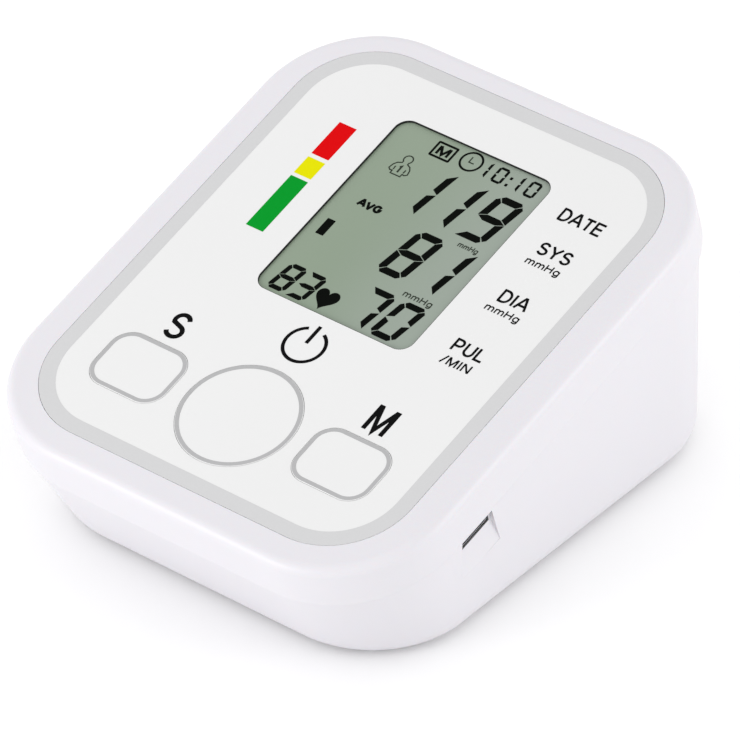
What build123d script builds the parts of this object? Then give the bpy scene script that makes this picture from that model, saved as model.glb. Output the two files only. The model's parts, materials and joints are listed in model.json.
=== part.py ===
from build123d import *
import os
from math import atan2, cos, radians, sin, tan

os.makedirs("parts", exist_ok=True)

# Desk-top blood pressure monitor: a wedge-shaped two-part case with a tilted face that
# carries the display and three keys, an air pump, valve and pressure sensor inside, a
# cuff air socket in the left wall, a USB power socket in the right wall and a battery
# bay under the floor.
# Millimetres. Row frame: x to the user's right, y to the back, z up, origin under the
# middle of the whole, on the surface the feet stand on.
# "Face frame": origin in the middle of the case's tilted rim plane, x as above, y up
# the slope, z out of the face.

# ---- case -------------------------------------------------------------------------
CASE_WIDTH = 106.8        # across the rim
CASE_LENGTH = 127.9       # along the slope of the rim
CASE_CORNER = 25.4        # plan radius of the rim's corners
FACE_TILT = 16.2          # degrees between the face and the table
FRONT_HEIGHT = 29.7       # rim's front edge above the case's underside
UPPER_DEPTH = 10.3        # rim plane to parting plane, square to the face
RIM_ROUND = 2.2           # rounding all round the rim
WALL = 2.2                # side walls of both shells
DECK = 2.2                # thickness of the upper shell's top
FLOOR = 2.2               # thickness of the lower shell's floor
SEAM_STEP = 0.2           # how far the lower shell stands in at the parting line
BACK_STEP = 1.0           # the same at the back, where the upper shell overhangs
LIP_HEIGHT = 1.6          # tongue of the lower shell inside the upper one
LIP_WALL = 1.0
FLOOR_SIDE_INSET = 4.1    # underside's sides inside the rim's, before its rounding
FLOOR_SETBACK = 14.6      # underside's front edge behind the rim's front edge
FLOOR_LENGTH = 115.1
FLOOR_CORNER = 23.2
FLOOR_ROUND = 5.6
FOOT_PROUD = 0.8

# ---- general clearances -------------------------------------------------------------
SEAT_GAP = 0.1            # between a fixed piece and its pocket
SLIDE_GAP = 0.1           # between a key and its opening
TOUCH_GAP = 0.05          # between stacked moving faces at rest

# ---- face panel and display ---------------------------------------------------------
PANEL_WIDTH = 92.1
PANEL_LENGTH = 115.5
PANEL_CORNER = 18.0
PANEL_SHIFT = 0.65        # panel's middle above the rim's middle, up the slope
PANEL_THICK = 0.8
WINDOW_WIDTH = 40.0
WINDOW_LENGTH = 51.8
WINDOW_CORNER = 3.2
WINDOW_RISE = 18.5        # window's middle above the rim's middle, up the slope
LENS_MARGIN = 1.5         # lens beyond the window, glued under the panel
LENS_THICK = 1.2
CELL_MARGIN = 3.5         # display glass beyond the window
CELL_THICK = 2.6
FRAME_WALL = 2.0          # display frame round the glass
FRAME_SILL = 1.2          # frame's ledge under the glass
CONTACT_STRIP = 2.4       # width of the elastomer strips
STRIP_LENGTH = 36.0

# ---- keys ---------------------------------------------------------------------------
KEY_ROW = -36.8           # all three keys' middles, along the slope
SIDE_KEY_REACH = 26.45    # side keys' middles, across
ROUND_KEY_OPENING = 13.4  # radius
SIDE_KEY_WIDTH = 19.3     # opening
SIDE_KEY_LENGTH = 15.2
SIDE_KEY_CORNER = 5.0
KEY_PROUD = 0.1
KEY_TRAVEL = 0.6
KEY_SKIN = 1.4            # cap wall and top
KEY_EDGE = 0.1            # bevel of a cap's top edge
GUIDE_DEPTH = 2.4         # guide walls under the deck
GUIDE_WALL = 1.2
KEY_FLANGE = 1.0          # flange thickness and how far it stands out
STEM_RADIUS = 2.6

# ---- main board and switches --------------------------------------------------------
BOARD_TOP = -10.0         # in the face frame
BOARD_THICK = 1.6
BOARD_SIDE_GAP = 1.1      # between the board and the housing screws' bosses
BOARD_LENGTH = 102.0
BOARD_SHIFT = -1.0
BOARD_CORNER = 3.0
SWITCH_SIDE = 6.0
SWITCH_HEIGHT = 3.4
PLUNGER_RADIUS = 1.7
PLUNGER_PROUD = 1.0
PLUNGER_DEPTH = 1.6
PLUNGER_GAP = 0.08
BOARD_BOSS_RADIUS = 2.6
BOARD_SCREW_INSET = 3.5   # from the board's sides
BOARD_SCREW_FRONT = 3.2   # from its front edge
BOARD_SCREW_BACK = 6.0    # from its back edge
BOARD_SCREW_RADIUS = 1.1
BOARD_SCREW_GRIP = 5.0
BUZZER_RADIUS = 5.5
BUZZER_HEIGHT = 4.0

# ---- housing screws -----------------------------------------------------------------
POST_REACH = 41.2
POST_FRONT_INSET = 23.95  # left front post behind the rim's front edge, along the slope
POST_BACK_INSET = 32.95   # back posts before the rim's back edge
POST_RADIUS = 4.2
BOSS_RADIUS = 3.6
SCREW_RADIUS = 1.45
SCREW_HEAD_RADIUS = 2.8
SCREW_HEAD_HEIGHT = 1.8
SCREW_GRIP = 6.0          # length inside the upper boss
SCREW_SEAT = 3.0          # post material under the head
WELL_RADIUS = 3.1

# ---- feet -----------------------------------------------------------------------------
FOOT_RADIUS = 4.5
FOOT_POCKET = 0.8
FOOT_REACHES = ((27.0, -47.3), (30.0, 46.7))   # across and back, from the floor's middle

# ---- battery bay and door ---------------------------------------------------------------
CELL_COUNT = 4
BATTERY_RADIUS = 5.15
BATTERY_LENGTH = 43.3
NUB_RADIUS = 1.9
NUB_LENGTH = 0.8
BATTERY_GAP = 0.7         # between two cells side by side
BAY_MID_X = 14.0
BAY_BACK = 38.7           # bay's back end behind the floor's middle
BAY_HEADROOM = 0.25       # above the cells
BAY_WALL = 1.5
DOOR_THICK = 1.4
DOOR_LEDGE = 0.8          # door's rebate beyond the bay
DOOR_GAP = 0.2
DOOR_CORNER = 2.0
BATTERY_DROP = 0.35       # batteries clear of the door
TAB_WIDTH = 3.2
TAB_THICK = 1.0
TAB_REACH = 2.4           # hook in front of the door's edge
TAB_ROOT = 1.2
TAB_LIFT = 0.1            # hook above the floor
LATCH_WIDTH = 12.0
LATCH_LENGTH = 3.4        # tongue behind the door's back edge
LATCH_SLIT = 0.9
LATCH_SLIT_LENGTH = 7.0
LATCH_GAP = 0.4
FINGER_LENGTH = 5.0       # fingertip hollow behind the latch
FINGER_DEPTH = 1.2
GRIP_COUNT = 5            # grooves across the door, before the latch
GRIP_PITCH = 2.0
GRIP_WIDTH = 0.9
GRIP_DEPTH = 0.3
GRIP_LENGTH = 24.0
CONTACT_WIDTH = 7.4
CONTACT_HEIGHT = 8.6
CONTACT_THICK = 0.4
SPRING_ROOM = 5.7         # between a cell's flat end and its contact
SPRING_WIRE = 0.45        # radius
SPRING_RADIUS = 2.9
SPRING_TURNS = 2

# ---- air system -------------------------------------------------------------------------
AIR_HEIGHT = 13.0         # air line above the case's underside
AIR_LINE = -29.3          # behind the floor's middle
PUMP_X = -24.8
PUMP_RADIUS = 11.9        # motor can
PUMP_CLEAR = 0.8          # pad under the pump
PUMP_FRONT = -5.3         # behind the floor's middle
PAD_WIDTH = 8.0
PAD_LENGTH = 4.0
HEAD_LENGTH = 20.0
HEAD_SIDE = 23.0
HEAD_CORNER = 5.0
HEAD_GROOVE = 0.6         # joints between the head's moulded layers
MOTOR_LENGTH = 30.0
MOTOR_EDGE = 1.0
END_CAP_LENGTH = 3.0
END_CAP_RADIUS = 5.0
SHAFT_RADIUS = 1.0
SHAFT_TAIL = 1.5
SHAFT_GAP = 0.05
CAM_RADIUS = 4.0
CAM_OFFSET = 1.2
CAM_LENGTH = 5.0
CAM_ROOM = 6.0            # radius of the head's crank chamber
CRADLE_WALL = 1.8
CRADLE_LENGTH = 4.0
NIPPLE_RADIUS = 1.7
NIPPLE_BORE = 0.8
NIPPLE_LENGTH = 4.6
TUBE_WALL = 1.3
TUBE_GAP = 0.05
TEE_SIDE = 7.0
TEE_EDGE = 0.8
NOZZLE_GAP = 1.3          # between the socket's and the tee's nozzle ends
SOCKET_RADIUS = 5.6
SOCKET_BORE = 4.0
SOCKET_DEPTH = 12.0
SOCKET_BASE = 2.0
SOCKET_PROUD = 0.3
SOCKET_FLANGE = 1.4       # collar inside the wall
SOCKET_LENGTH = 14.0
VALVE_LENGTH = 17.0
VALVE_SIDE = 12.0
VALVE_BASE = 6.0          # shelf top above the case's underside
VALVE_GAP_X = 4.2         # between the tee's and the valve's nozzle ends
VALVE_PIN_RADIUS = 1.6
VALVE_PIN_GAP = 0.08
VALVE_PIN_TRAVEL = 0.8
VALVE_PIN_PROUD = 2.4
VALVE_PIN_HEAD = 1.2      # thickness of the pin's head
VALVE_PIN_RIM = 1.0       # head beyond the pin
VALVE_EDGE = 1.2
SHELF_INSET = 2.0         # valve's ends beyond its shelf
SHELF_WALL = 1.5
SHELF_LIP = 3.0           # shelf's side walls above its top
SENSOR_SIDE = 8.0
SENSOR_HEIGHT = 2.6
SENSOR_PORT = 2.6

# ---- USB power socket ----------------------------------------------------------------------
USB_INSET = 34.05         # slot's middle behind the rim's front edge, along the slope
USB_DROP = 1.05           # slot's upper edge under the parting plane
USB_SLOT_LENGTH = 8.6
USB_SLOT_HEIGHT = 3.0
SCOOP_LENGTH = 11.0       # hollow in the wall under the slot's upper edge
SCOOP_DEPTH = 1.5
SCOOP_MARGIN = 0.6        # hollow beyond the slot's ends, at its upper edge
SCOOP_FLARE = 1.4         # and how much more at its lower end
USB_LENGTH = 5.8
USB_WIDTH = 8.0
USB_HEIGHT = 2.5
USB_SKIN = 0.35
USB_EDGE = 0.8
USB_BACK = 1.0            # closed end of the socket's shell
USB_TONGUE_BACK = 0.8     # tongue behind the mouth
USB_TONGUE = 0.6
USB_BOARD_WIDTH = 11.0
USB_BOARD_LENGTH = 15.0
USB_BOARD_THICK = 1.0
USB_POST_SIDE = 3.0
USB_POST_GAP = 0.4        # between the socket's board and the right front housing post

# ---- derived places ---------------------------------------------------------------------
S = sin(radians(FACE_TILT))
C = cos(radians(FACE_TILT))
FLOOR_WIDTH = CASE_WIDTH - 2 * FLOOR_SIDE_INSET
FRONT_REACH = (CASE_LENGTH / 2 - RIM_ROUND) * C - RIM_ROUND * S + RIM_ROUND
SEAM_BACK_REACH = (CASE_LENGTH / 2 - BACK_STEP) * C + UPPER_DEPTH * S
SEAM_BACK_HEIGHT = FRONT_HEIGHT + (CASE_LENGTH - BACK_STEP) * S - UPPER_DEPTH * C
FLOOR_BACK_REACH = FLOOR_SETBACK + FLOOR_LENGTH - CASE_LENGTH / 2 * C
BACK_LEAN = atan2(FLOOR_BACK_REACH - SEAM_BACK_REACH, SEAM_BACK_HEIGHT)
FLOOR_REACH = FLOOR_BACK_REACH - FLOOR_ROUND * (tan(BACK_LEAN) + 1 / cos(BACK_LEAN) - 1)
BACK_REACH = max(FLOOR_REACH, CASE_LENGTH / 2 * C + UPPER_DEPTH * S)
FACE_Y = (FRONT_REACH - BACK_REACH) / 2
FACE_Z = FOOT_PROUD + FRONT_HEIGHT + CASE_LENGTH / 2 * S
FACE = Plane(origin=(0, FACE_Y, FACE_Z), x_dir=(1, 0, 0), z_dir=(0, -S, C)).location
FLOOR_FRONT_Y = FACE_Y - CASE_LENGTH / 2 * C + FLOOR_SETBACK
FLOOR_MID_Y = FLOOR_FRONT_Y + FLOOR_LENGTH / 2
FLOOR_TOP = FOOT_PROUD + FLOOR
USB_ROW = USB_INSET - CASE_LENGTH / 2
POST_BACK_ROW = CASE_LENGTH / 2 - POST_BACK_INSET
LEFT_POST_ROWS = (POST_FRONT_INSET - CASE_LENGTH / 2, POST_BACK_ROW)
RIGHT_POST_ROWS = (USB_ROW - USB_BOARD_WIDTH / 2 - USB_POST_GAP - POST_RADIUS, POST_BACK_ROW)
FOOT_PLACES = [(side * x, FLOOR_MID_Y + y) for x, y in FOOT_REACHES for side in (-1, 1)]
BOARD_WIDTH = 2 * (POST_REACH - BOSS_RADIUS - BOARD_SIDE_GAP)
BOARD_SCREW_REACH = BOARD_WIDTH / 2 - BOARD_SCREW_INSET
BOARD_SCREW_ROWS = (
    BOARD_SHIFT - BOARD_LENGTH / 2 + BOARD_SCREW_FRONT,
    BOARD_SHIFT + BOARD_LENGTH / 2 - BOARD_SCREW_BACK,
)
BATTERY_PITCH = 2 * BATTERY_RADIUS + BATTERY_GAP
BAY_BACK_Y = FLOOR_MID_Y + BAY_BACK
BAY_LENGTH = BATTERY_LENGTH + NUB_LENGTH + SPRING_ROOM + 2 * CONTACT_THICK
BAY_CEILING = DOOR_THICK + BATTERY_DROP + 2 * BATTERY_RADIUS + BAY_HEADROOM
AIR_LINE_Y = FLOOR_MID_Y + AIR_LINE
AIR_Z = FOOT_PROUD + AIR_HEIGHT
PUMP_FRONT_Y = FLOOR_MID_Y + PUMP_FRONT
PUMP_Z = FLOOR_TOP + PUMP_CLEAR + PUMP_RADIUS
USB_EDGE_DEPTH = -UPPER_DEPTH - USB_DROP
USB_MID_DEPTH = USB_EDGE_DEPTH - USB_SLOT_HEIGHT / 2
USB_BOARD_TOP = USB_MID_DEPTH - USB_HEIGHT / 2


def slab(width, length, radius, bottom, top):
    """Rounded rectangular slab centred on the z axis."""
    return Pos(0, 0, bottom) * extrude(RectangleRounded(width, length, radius), amount=top - bottom)


def rod(radius, bottom, top):
    """Cylinder on the z axis."""
    return Pos(0, 0, bottom) * extrude(Circle(radius), amount=top - bottom)


def block(low, high):
    """Box between two corners."""
    size = [b - a for a, b in zip(low, high)]
    middle = [(a + b) / 2 for a, b in zip(low, high)]
    return Pos(*middle) * Box(*size)


def along_x(radius, x_from, x_to, y, z):
    """Cylinder along x."""
    return Pos(x_from, y, z) * Rot(0, 90, 0) * rod(radius, 0, x_to - x_from)


def along_y(radius, y_from, y_to, x, z):
    """Cylinder along y."""
    return Pos(x, y_from, z) * Rot(-90, 0, 0) * rod(radius, 0, y_to - y_from)


def face_depth_at(slope, height):
    """Face-frame z at which a line square to the face, at this slope place, meets a row height."""
    return (height - FACE_Z - slope * S) / C


# ---- shapes shared by pieces that fit each other ------------------------------------------
def case_wedge(inset):
    """Lower shell's form from the parting plane to the underside, drawn in by inset."""
    step = SEAM_STEP + inset
    overhang = BACK_STEP - SEAM_STEP
    rim = RectangleRounded(CASE_WIDTH - 2 * step, CASE_LENGTH - 2 * step - overhang, CASE_CORNER - step)
    base = RectangleRounded(FLOOR_WIDTH - 2 * inset, FLOOR_LENGTH - 2 * inset, FLOOR_CORNER - inset)
    return loft(
        [FACE * Pos(0, -overhang / 2, -UPPER_DEPTH) * rim, Pos(0, FLOOR_MID_Y, FOOT_PROUD) * base],
        ruled=True,
    )


def wall_span(side, y, z, radius):
    """Lowest and highest x of a side wall within a circle at a row place; side is -1 or 1."""
    through = along_x(radius, 0, side * CASE_WIDTH, y, z)
    box = ((case_wedge(0) - case_wedge(WALL)) & through).bounding_box()
    return box.min.X, box.max.X


def wall_at_slot(depth):
    """The right wall's x at the USB slot's row and a face-frame depth."""
    middle = FACE * Pos(0, USB_ROW, depth - SLOT_HALF)
    return wall_span(1, middle.position.Y, middle.position.Z, SLOT_HALF)[1]


def lip_band(outer_gap):
    """Tongue that centres the shells on each other, in the face frame."""
    outside = WALL - LIP_WALL - outer_gap
    outer = slab(
        CASE_WIDTH - 2 * outside, CASE_LENGTH - 2 * outside, CASE_CORNER - outside,
        -UPPER_DEPTH, -UPPER_DEPTH + LIP_HEIGHT + outer_gap,
    )
    inner = slab(
        CASE_WIDTH - 2 * WALL, CASE_LENGTH - 2 * WALL, CASE_CORNER - WALL,
        -UPPER_DEPTH, -UPPER_DEPTH + LIP_HEIGHT + outer_gap,
    )
    return outer - inner


def key_outline(name, grow):
    """Outline of a key's opening, grown or shrunk all round, at its place on the face."""
    if name == "power":
        return Pos(0, KEY_ROW) * Circle(ROUND_KEY_OPENING + grow)
    side = -1 if name == "set" else 1
    shape = RectangleRounded(SIDE_KEY_WIDTH + 2 * grow, SIDE_KEY_LENGTH + 2 * grow, SIDE_KEY_CORNER + grow)
    return Pos(side * SIDE_KEY_REACH, KEY_ROW) * shape


def key_middle(name):
    """Place of a key's middle on the face."""
    return {"power": 0.0, "set": -SIDE_KEY_REACH, "memory": SIDE_KEY_REACH}[name]


def key_solid(name, grow, bottom, top):
    """Prism of a key's outline between two face-frame heights."""
    return Pos(0, 0, bottom) * extrude(key_outline(name, grow), amount=top - bottom)


def window_slab(margin, bottom, top):
    """Slab on the display window's middle, a margin larger than the window."""
    return Pos(0, WINDOW_RISE, 0) * slab(
        WINDOW_WIDTH + 2 * margin, WINDOW_LENGTH + 2 * margin, WINDOW_CORNER, bottom, top
    )


# What passes through the side walls, and what lines up with it.
SOCKET_MOUTH_X = wall_span(-1, AIR_LINE_Y, AIR_Z, SOCKET_RADIUS)[0] - SOCKET_PROUD
SOCKET_COLLAR_X = wall_span(-1, AIR_LINE_Y, AIR_Z, SOCKET_RADIUS + SOCKET_FLANGE)[1] + SEAT_GAP
SOCKET_END_X = SOCKET_MOUTH_X + SOCKET_LENGTH
SOCKET_NOZZLE = NIPPLE_LENGTH * 0.8
TEE_X = SOCKET_END_X + SOCKET_NOZZLE + NOZZLE_GAP + NIPPLE_LENGTH + TEE_SIDE / 2
VALVE_X = TEE_X + TEE_SIDE / 2 + VALVE_GAP_X + 2 * NIPPLE_LENGTH
SLOT_HALF = USB_SLOT_HEIGHT / 2
SCOOP_X = wall_at_slot(USB_EDGE_DEPTH) - SCOOP_DEPTH

KEYS = ("power", "set", "memory")
POSTS = [(-POST_REACH, row) for row in LEFT_POST_ROWS] + [(POST_REACH, row) for row in RIGHT_POST_ROWS]
BOARD_SCREWS = [(side * BOARD_SCREW_REACH, row) for side in (-1, 1) for row in BOARD_SCREW_ROWS]
GUIDE_BOTTOM = -DECK - GUIDE_DEPTH
BOARD_BOTTOM = BOARD_TOP - BOARD_THICK


# ---- upper shell ----------------------------------------------------------------------------
def make_upper_shell():
    shell = slab(CASE_WIDTH, CASE_LENGTH, CASE_CORNER, -UPPER_DEPTH, 0)
    shell = fillet(shell.faces().sort_by(Axis.Z)[-1].edges(), RIM_ROUND)
    shell -= slab(
        CASE_WIDTH - 2 * WALL, CASE_LENGTH - 2 * WALL, CASE_CORNER - WALL, -UPPER_DEPTH, -DECK
    )
    for name in KEYS:
        shell += key_solid(name, GUIDE_WALL, GUIDE_BOTTOM, -DECK)
    for x, y in POSTS:
        shell += Pos(x, y, 0) * rod(BOSS_RADIUS, -UPPER_DEPTH, -DECK)
        shell -= Pos(x, y, 0) * rod(SCREW_RADIUS + SEAT_GAP, -UPPER_DEPTH, -UPPER_DEPTH + SCREW_GRIP)
    for x, y in BOARD_SCREWS:
        shell += Pos(x, y, 0) * rod(BOARD_BOSS_RADIUS, BOARD_TOP, -DECK)
        shell -= Pos(x, y, 0) * rod(BOARD_SCREW_RADIUS + SEAT_GAP, BOARD_TOP, BOARD_TOP + BOARD_SCREW_GRIP)
    shell -= Pos(0, PANEL_SHIFT, 0) * slab(
        PANEL_WIDTH + 2 * SEAT_GAP, PANEL_LENGTH + 2 * SEAT_GAP, PANEL_CORNER + SEAT_GAP, -PANEL_THICK, 0
    )
    shell -= window_slab(LENS_MARGIN + SEAT_GAP, -DECK, 0)
    for name in KEYS:
        shell -= key_solid(name, 0, GUIDE_BOTTOM, 0)
    shell -= lip_band(SEAT_GAP)
    return FACE * shell


def make_face_panel():
    panel = Pos(0, PANEL_SHIFT, 0) * slab(PANEL_WIDTH, PANEL_LENGTH, PANEL_CORNER, -PANEL_THICK, 0)
    panel -= window_slab(0, -PANEL_THICK, 0)
    for name in KEYS:
        panel -= key_solid(name, 0, -PANEL_THICK, 0)
    return FACE * panel


# ---- display --------------------------------------------------------------------------------
CELL_BOTTOM = -DECK - CELL_THICK


def make_display_window():
    return FACE * window_slab(LENS_MARGIN, -PANEL_THICK - LENS_THICK, -PANEL_THICK)


def make_lcd_cell():
    return FACE * window_slab(CELL_MARGIN, CELL_BOTTOM, -DECK)


def make_lcd_frame():
    frame = window_slab(CELL_MARGIN + FRAME_WALL, BOARD_TOP, -DECK)
    frame -= window_slab(CELL_MARGIN + SEAT_GAP, CELL_BOTTOM - SEAT_GAP, -DECK)
    frame -= window_slab(CELL_MARGIN - FRAME_SILL, BOARD_TOP, CELL_BOTTOM)
    for end in (-1, 1):
        middle = WINDOW_RISE + end * strip_reach()
        room = Pos(0, middle, 0) * block(
            (-STRIP_LENGTH / 2 - SEAT_GAP, -CONTACT_STRIP / 2 - SEAT_GAP, BOARD_TOP),
            (STRIP_LENGTH / 2 + SEAT_GAP, CONTACT_STRIP / 2 + SEAT_GAP, CELL_BOTTOM),
        )
        frame -= room
    return FACE * frame


def strip_reach():
    """Elastomer strips' middles from the window's middle, along the slope."""
    return WINDOW_LENGTH / 2 + CELL_MARGIN - FRAME_SILL - CONTACT_STRIP / 2


def make_contact_strips():
    strips = []
    for end in (-1, 1):
        middle = WINDOW_RISE + end * strip_reach()
        strip = block(
            (-STRIP_LENGTH / 2, -CONTACT_STRIP / 2, BOARD_TOP),
            (STRIP_LENGTH / 2, CONTACT_STRIP / 2, CELL_BOTTOM),
        )
        strips.append(FACE * Pos(0, middle, 0) * strip)
    return Compound(children=strips)


# ---- keys and switches ----------------------------------------------------------------------
PLUNGER_TOP = BOARD_TOP + SWITCH_HEIGHT + PLUNGER_PROUD


def make_key(name):
    flange_top = GUIDE_BOTTOM - TOUCH_GAP
    cap = key_solid(name, -SLIDE_GAP, flange_top - KEY_FLANGE, KEY_PROUD)
    cap = chamfer(cap.faces().sort_by(Axis.Z)[-1].edges(), KEY_EDGE)
    cap += key_solid(name, GUIDE_WALL, flange_top - KEY_FLANGE, flange_top)
    cap -= key_solid(name, -SLIDE_GAP - KEY_SKIN, flange_top - KEY_FLANGE, KEY_PROUD - KEY_SKIN)
    stem = rod(STEM_RADIUS, PLUNGER_TOP + TOUCH_GAP, KEY_PROUD - KEY_SKIN)
    cap += Pos(key_middle(name), KEY_ROW, 0) * stem
    return FACE * cap


def make_switch_bodies():
    bodies = []
    for name in KEYS:
        body = Pos(0, 0, BOARD_TOP + SWITCH_HEIGHT / 2) * Box(SWITCH_SIDE, SWITCH_SIDE, SWITCH_HEIGHT)
        bore_bottom = BOARD_TOP + SWITCH_HEIGHT - PLUNGER_DEPTH - KEY_TRAVEL - TOUCH_GAP
        body -= rod(PLUNGER_RADIUS + PLUNGER_GAP, bore_bottom, BOARD_TOP + SWITCH_HEIGHT)
        bodies.append(FACE * Pos(key_middle(name), KEY_ROW, 0) * body)
    return Compound(children=bodies)


def make_plunger(name):
    plunger = rod(PLUNGER_RADIUS, BOARD_TOP + SWITCH_HEIGHT - PLUNGER_DEPTH, PLUNGER_TOP)
    return FACE * Pos(key_middle(name), KEY_ROW, 0) * plunger


# ---- main board -----------------------------------------------------------------------------
def make_main_board():
    board = Pos(0, BOARD_SHIFT, 0) * slab(BOARD_WIDTH, BOARD_LENGTH, BOARD_CORNER, BOARD_BOTTOM, BOARD_TOP)
    for x, y in BOARD_SCREWS:
        board -= Pos(x, y, 0) * rod(BOARD_SCREW_RADIUS + SEAT_GAP, BOARD_BOTTOM, BOARD_TOP)
    return FACE * board


def make_board_screws():
    screws = []
    for x, y in BOARD_SCREWS:
        screw = rod(BOARD_SCREW_RADIUS, BOARD_BOTTOM, BOARD_TOP + BOARD_SCREW_GRIP - SEAT_GAP)
        screw += rod(2 * BOARD_SCREW_RADIUS, BOARD_BOTTOM - BOARD_SCREW_RADIUS, BOARD_BOTTOM)
        screws.append(FACE * Pos(x, y, 0) * screw)
    return Compound(children=screws)


CHIPS = ((8.0, 14.0, 16.0, 16.0, 1.6), (-14.0, 30.0, 8.0, 10.0, 1.8), (26.0, -18.0, 6.0, 9.0, 3.0))


def make_board_chips():
    chips = []
    for x, y, width, length, height in CHIPS:
        chips.append(FACE * Pos(x, y, BOARD_BOTTOM - height / 2) * Box(width, length, height))
    return Compound(children=chips)


BUZZER_PLACE = (22.0, -2.0)


def make_buzzer():
    buzzer = rod(BUZZER_RADIUS, BOARD_BOTTOM - BUZZER_HEIGHT, BOARD_BOTTOM)
    buzzer -= rod(BUZZER_RADIUS / 5, BOARD_BOTTOM - BUZZER_HEIGHT, BOARD_BOTTOM - BUZZER_HEIGHT / 2)
    return FACE * Pos(*BUZZER_PLACE, 0) * buzzer


# ---- battery bay ------------------------------------------------------------------------------
BAY_WIDTH = CELL_COUNT * BATTERY_PITCH + 2 * SEAT_GAP
BAY_X = (BAY_MID_X - BAY_WIDTH / 2, BAY_MID_X + BAY_WIDTH / 2)
BAY_Y = (BAY_BACK_Y - BAY_LENGTH, BAY_BACK_Y)
BAY_TOP = FOOT_PROUD + BAY_CEILING
DOOR_TOP = FOOT_PROUD + DOOR_THICK
DOOR_FRONT_Y = BAY_Y[0] - DOOR_LEDGE + DOOR_GAP
DOOR_BACK_Y = BAY_Y[1] + DOOR_LEDGE - DOOR_GAP
TAB_PLACES = (BAY_MID_X - BATTERY_PITCH, BAY_MID_X + BATTERY_PITCH)
BATTERY_Z = DOOR_TOP + BATTERY_DROP + BATTERY_RADIUS


def battery_x(index):
    """Place across of one battery's axis."""
    return BAY_MID_X + (index - (CELL_COUNT - 1) / 2) * BATTERY_PITCH


def make_battery(index):
    """One cell; its nub points to the front on even cells and to the back on odd ones."""
    cell = rod(BATTERY_RADIUS, 0, BATTERY_LENGTH)
    cell = chamfer(cell.edges(), BATTERY_RADIUS / 10)
    cell += rod(NUB_RADIUS, BATTERY_LENGTH, BATTERY_LENGTH + NUB_LENGTH)
    if index % 2:
        place = Pos(battery_x(index), BAY_Y[1] - CONTACT_THICK, BATTERY_Z) * Rot(-90, 0, 0)
    else:
        place = Pos(battery_x(index), BAY_Y[0] + CONTACT_THICK, BATTERY_Z) * Rot(90, 0, 0)
    return place * Pos(0, 0, -BATTERY_LENGTH - NUB_LENGTH) * cell


def make_battery_contacts():
    plates = []
    half = CONTACT_WIDTH / 2
    for index in range(CELL_COUNT):
        x = battery_x(index)
        for y in (BAY_Y[0], BAY_Y[1] - CONTACT_THICK):
            plates.append(
                block((x - half, y, BAY_TOP - CONTACT_HEIGHT), (x + half, y + CONTACT_THICK, BAY_TOP))
            )
    return Compound(children=plates)


def make_battery_springs():
    """Coil springs at the cells' flat ends."""
    springs = []
    rise = SPRING_ROOM - 2 * TOUCH_GAP - 2 * SPRING_WIRE
    for index in range(CELL_COUNT):
        path = Helix(pitch=rise / SPRING_TURNS, height=rise, radius=SPRING_RADIUS)
        section = Plane(origin=path @ 0, z_dir=path % 0) * RegularPolygon(SPRING_WIRE, 6)
        spring = Pos(0, 0, SPRING_WIRE + TOUCH_GAP) * sweep(section, path=path)
        if index % 2:
            place = Pos(battery_x(index), BAY_Y[0] + CONTACT_THICK, BATTERY_Z) * Rot(-90, 0, 0)
        else:
            place = Pos(battery_x(index), BAY_Y[1] - CONTACT_THICK, BATTERY_Z) * Rot(90, 0, 0)
        springs.append(place * spring)
    return Compound(children=springs)


def latch_room(gap, bottom, top):
    """Space of the door's latch tongue."""
    return block(
        (BAY_MID_X - LATCH_WIDTH / 2 - gap, BAY_Y[1] - BAY_WALL, bottom),
        (BAY_MID_X + LATCH_WIDTH / 2 + gap, DOOR_BACK_Y + LATCH_LENGTH + gap - LATCH_GAP, top),
    )


def finger_hollow():
    """Sloping hollow behind the latch for a fingertip."""
    front = DOOR_BACK_Y + LATCH_LENGTH
    back = front + FINGER_LENGTH
    profile = Plane.YZ * Polygon(
        (front, FOOT_PROUD), (front, FOOT_PROUD + FINGER_DEPTH), (back, FOOT_PROUD), align=None
    )
    return Pos(BAY_MID_X - LATCH_WIDTH / 2, 0, 0) * extrude(profile, amount=LATCH_WIDTH)


def make_battery_door():
    middle_y = (DOOR_FRONT_Y + DOOR_BACK_Y) / 2
    width = BAY_WIDTH + 2 * (DOOR_LEDGE - DOOR_GAP)
    door = Pos(BAY_MID_X, middle_y, 0) * slab(
        width, DOOR_BACK_Y - DOOR_FRONT_Y, DOOR_CORNER, FOOT_PROUD, DOOR_TOP
    )
    door += latch_room(0, FOOT_PROUD, DOOR_TOP)
    for side in (-1, 1):
        slit_x = BAY_MID_X + side * (LATCH_WIDTH + LATCH_SLIT) / 2
        door -= block(
            (slit_x - LATCH_SLIT / 2, DOOR_BACK_Y - LATCH_SLIT_LENGTH, FOOT_PROUD),
            (slit_x + LATCH_SLIT / 2, DOOR_BACK_Y, DOOR_TOP),
        )
    for count in range(GRIP_COUNT):
        y = DOOR_BACK_Y - LATCH_SLIT_LENGTH - (count + 1) * GRIP_PITCH
        door -= block(
            (BAY_MID_X - GRIP_LENGTH / 2, y, FOOT_PROUD),
            (BAY_MID_X + GRIP_LENGTH / 2, y + GRIP_WIDTH, FOOT_PROUD + GRIP_DEPTH),
        )
    hook_bottom = FLOOR_TOP + TAB_LIFT
    for x in TAB_PLACES:
        door += block(
            (x - TAB_WIDTH / 2, DOOR_FRONT_Y, DOOR_TOP),
            (x + TAB_WIDTH / 2, DOOR_FRONT_Y + TAB_ROOT, hook_bottom + TAB_THICK),
        )
        door += block(
            (x - TAB_WIDTH / 2, DOOR_FRONT_Y - TAB_REACH, hook_bottom),
            (x + TAB_WIDTH / 2, DOOR_FRONT_Y, hook_bottom + TAB_THICK),
        )
    return door


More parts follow.
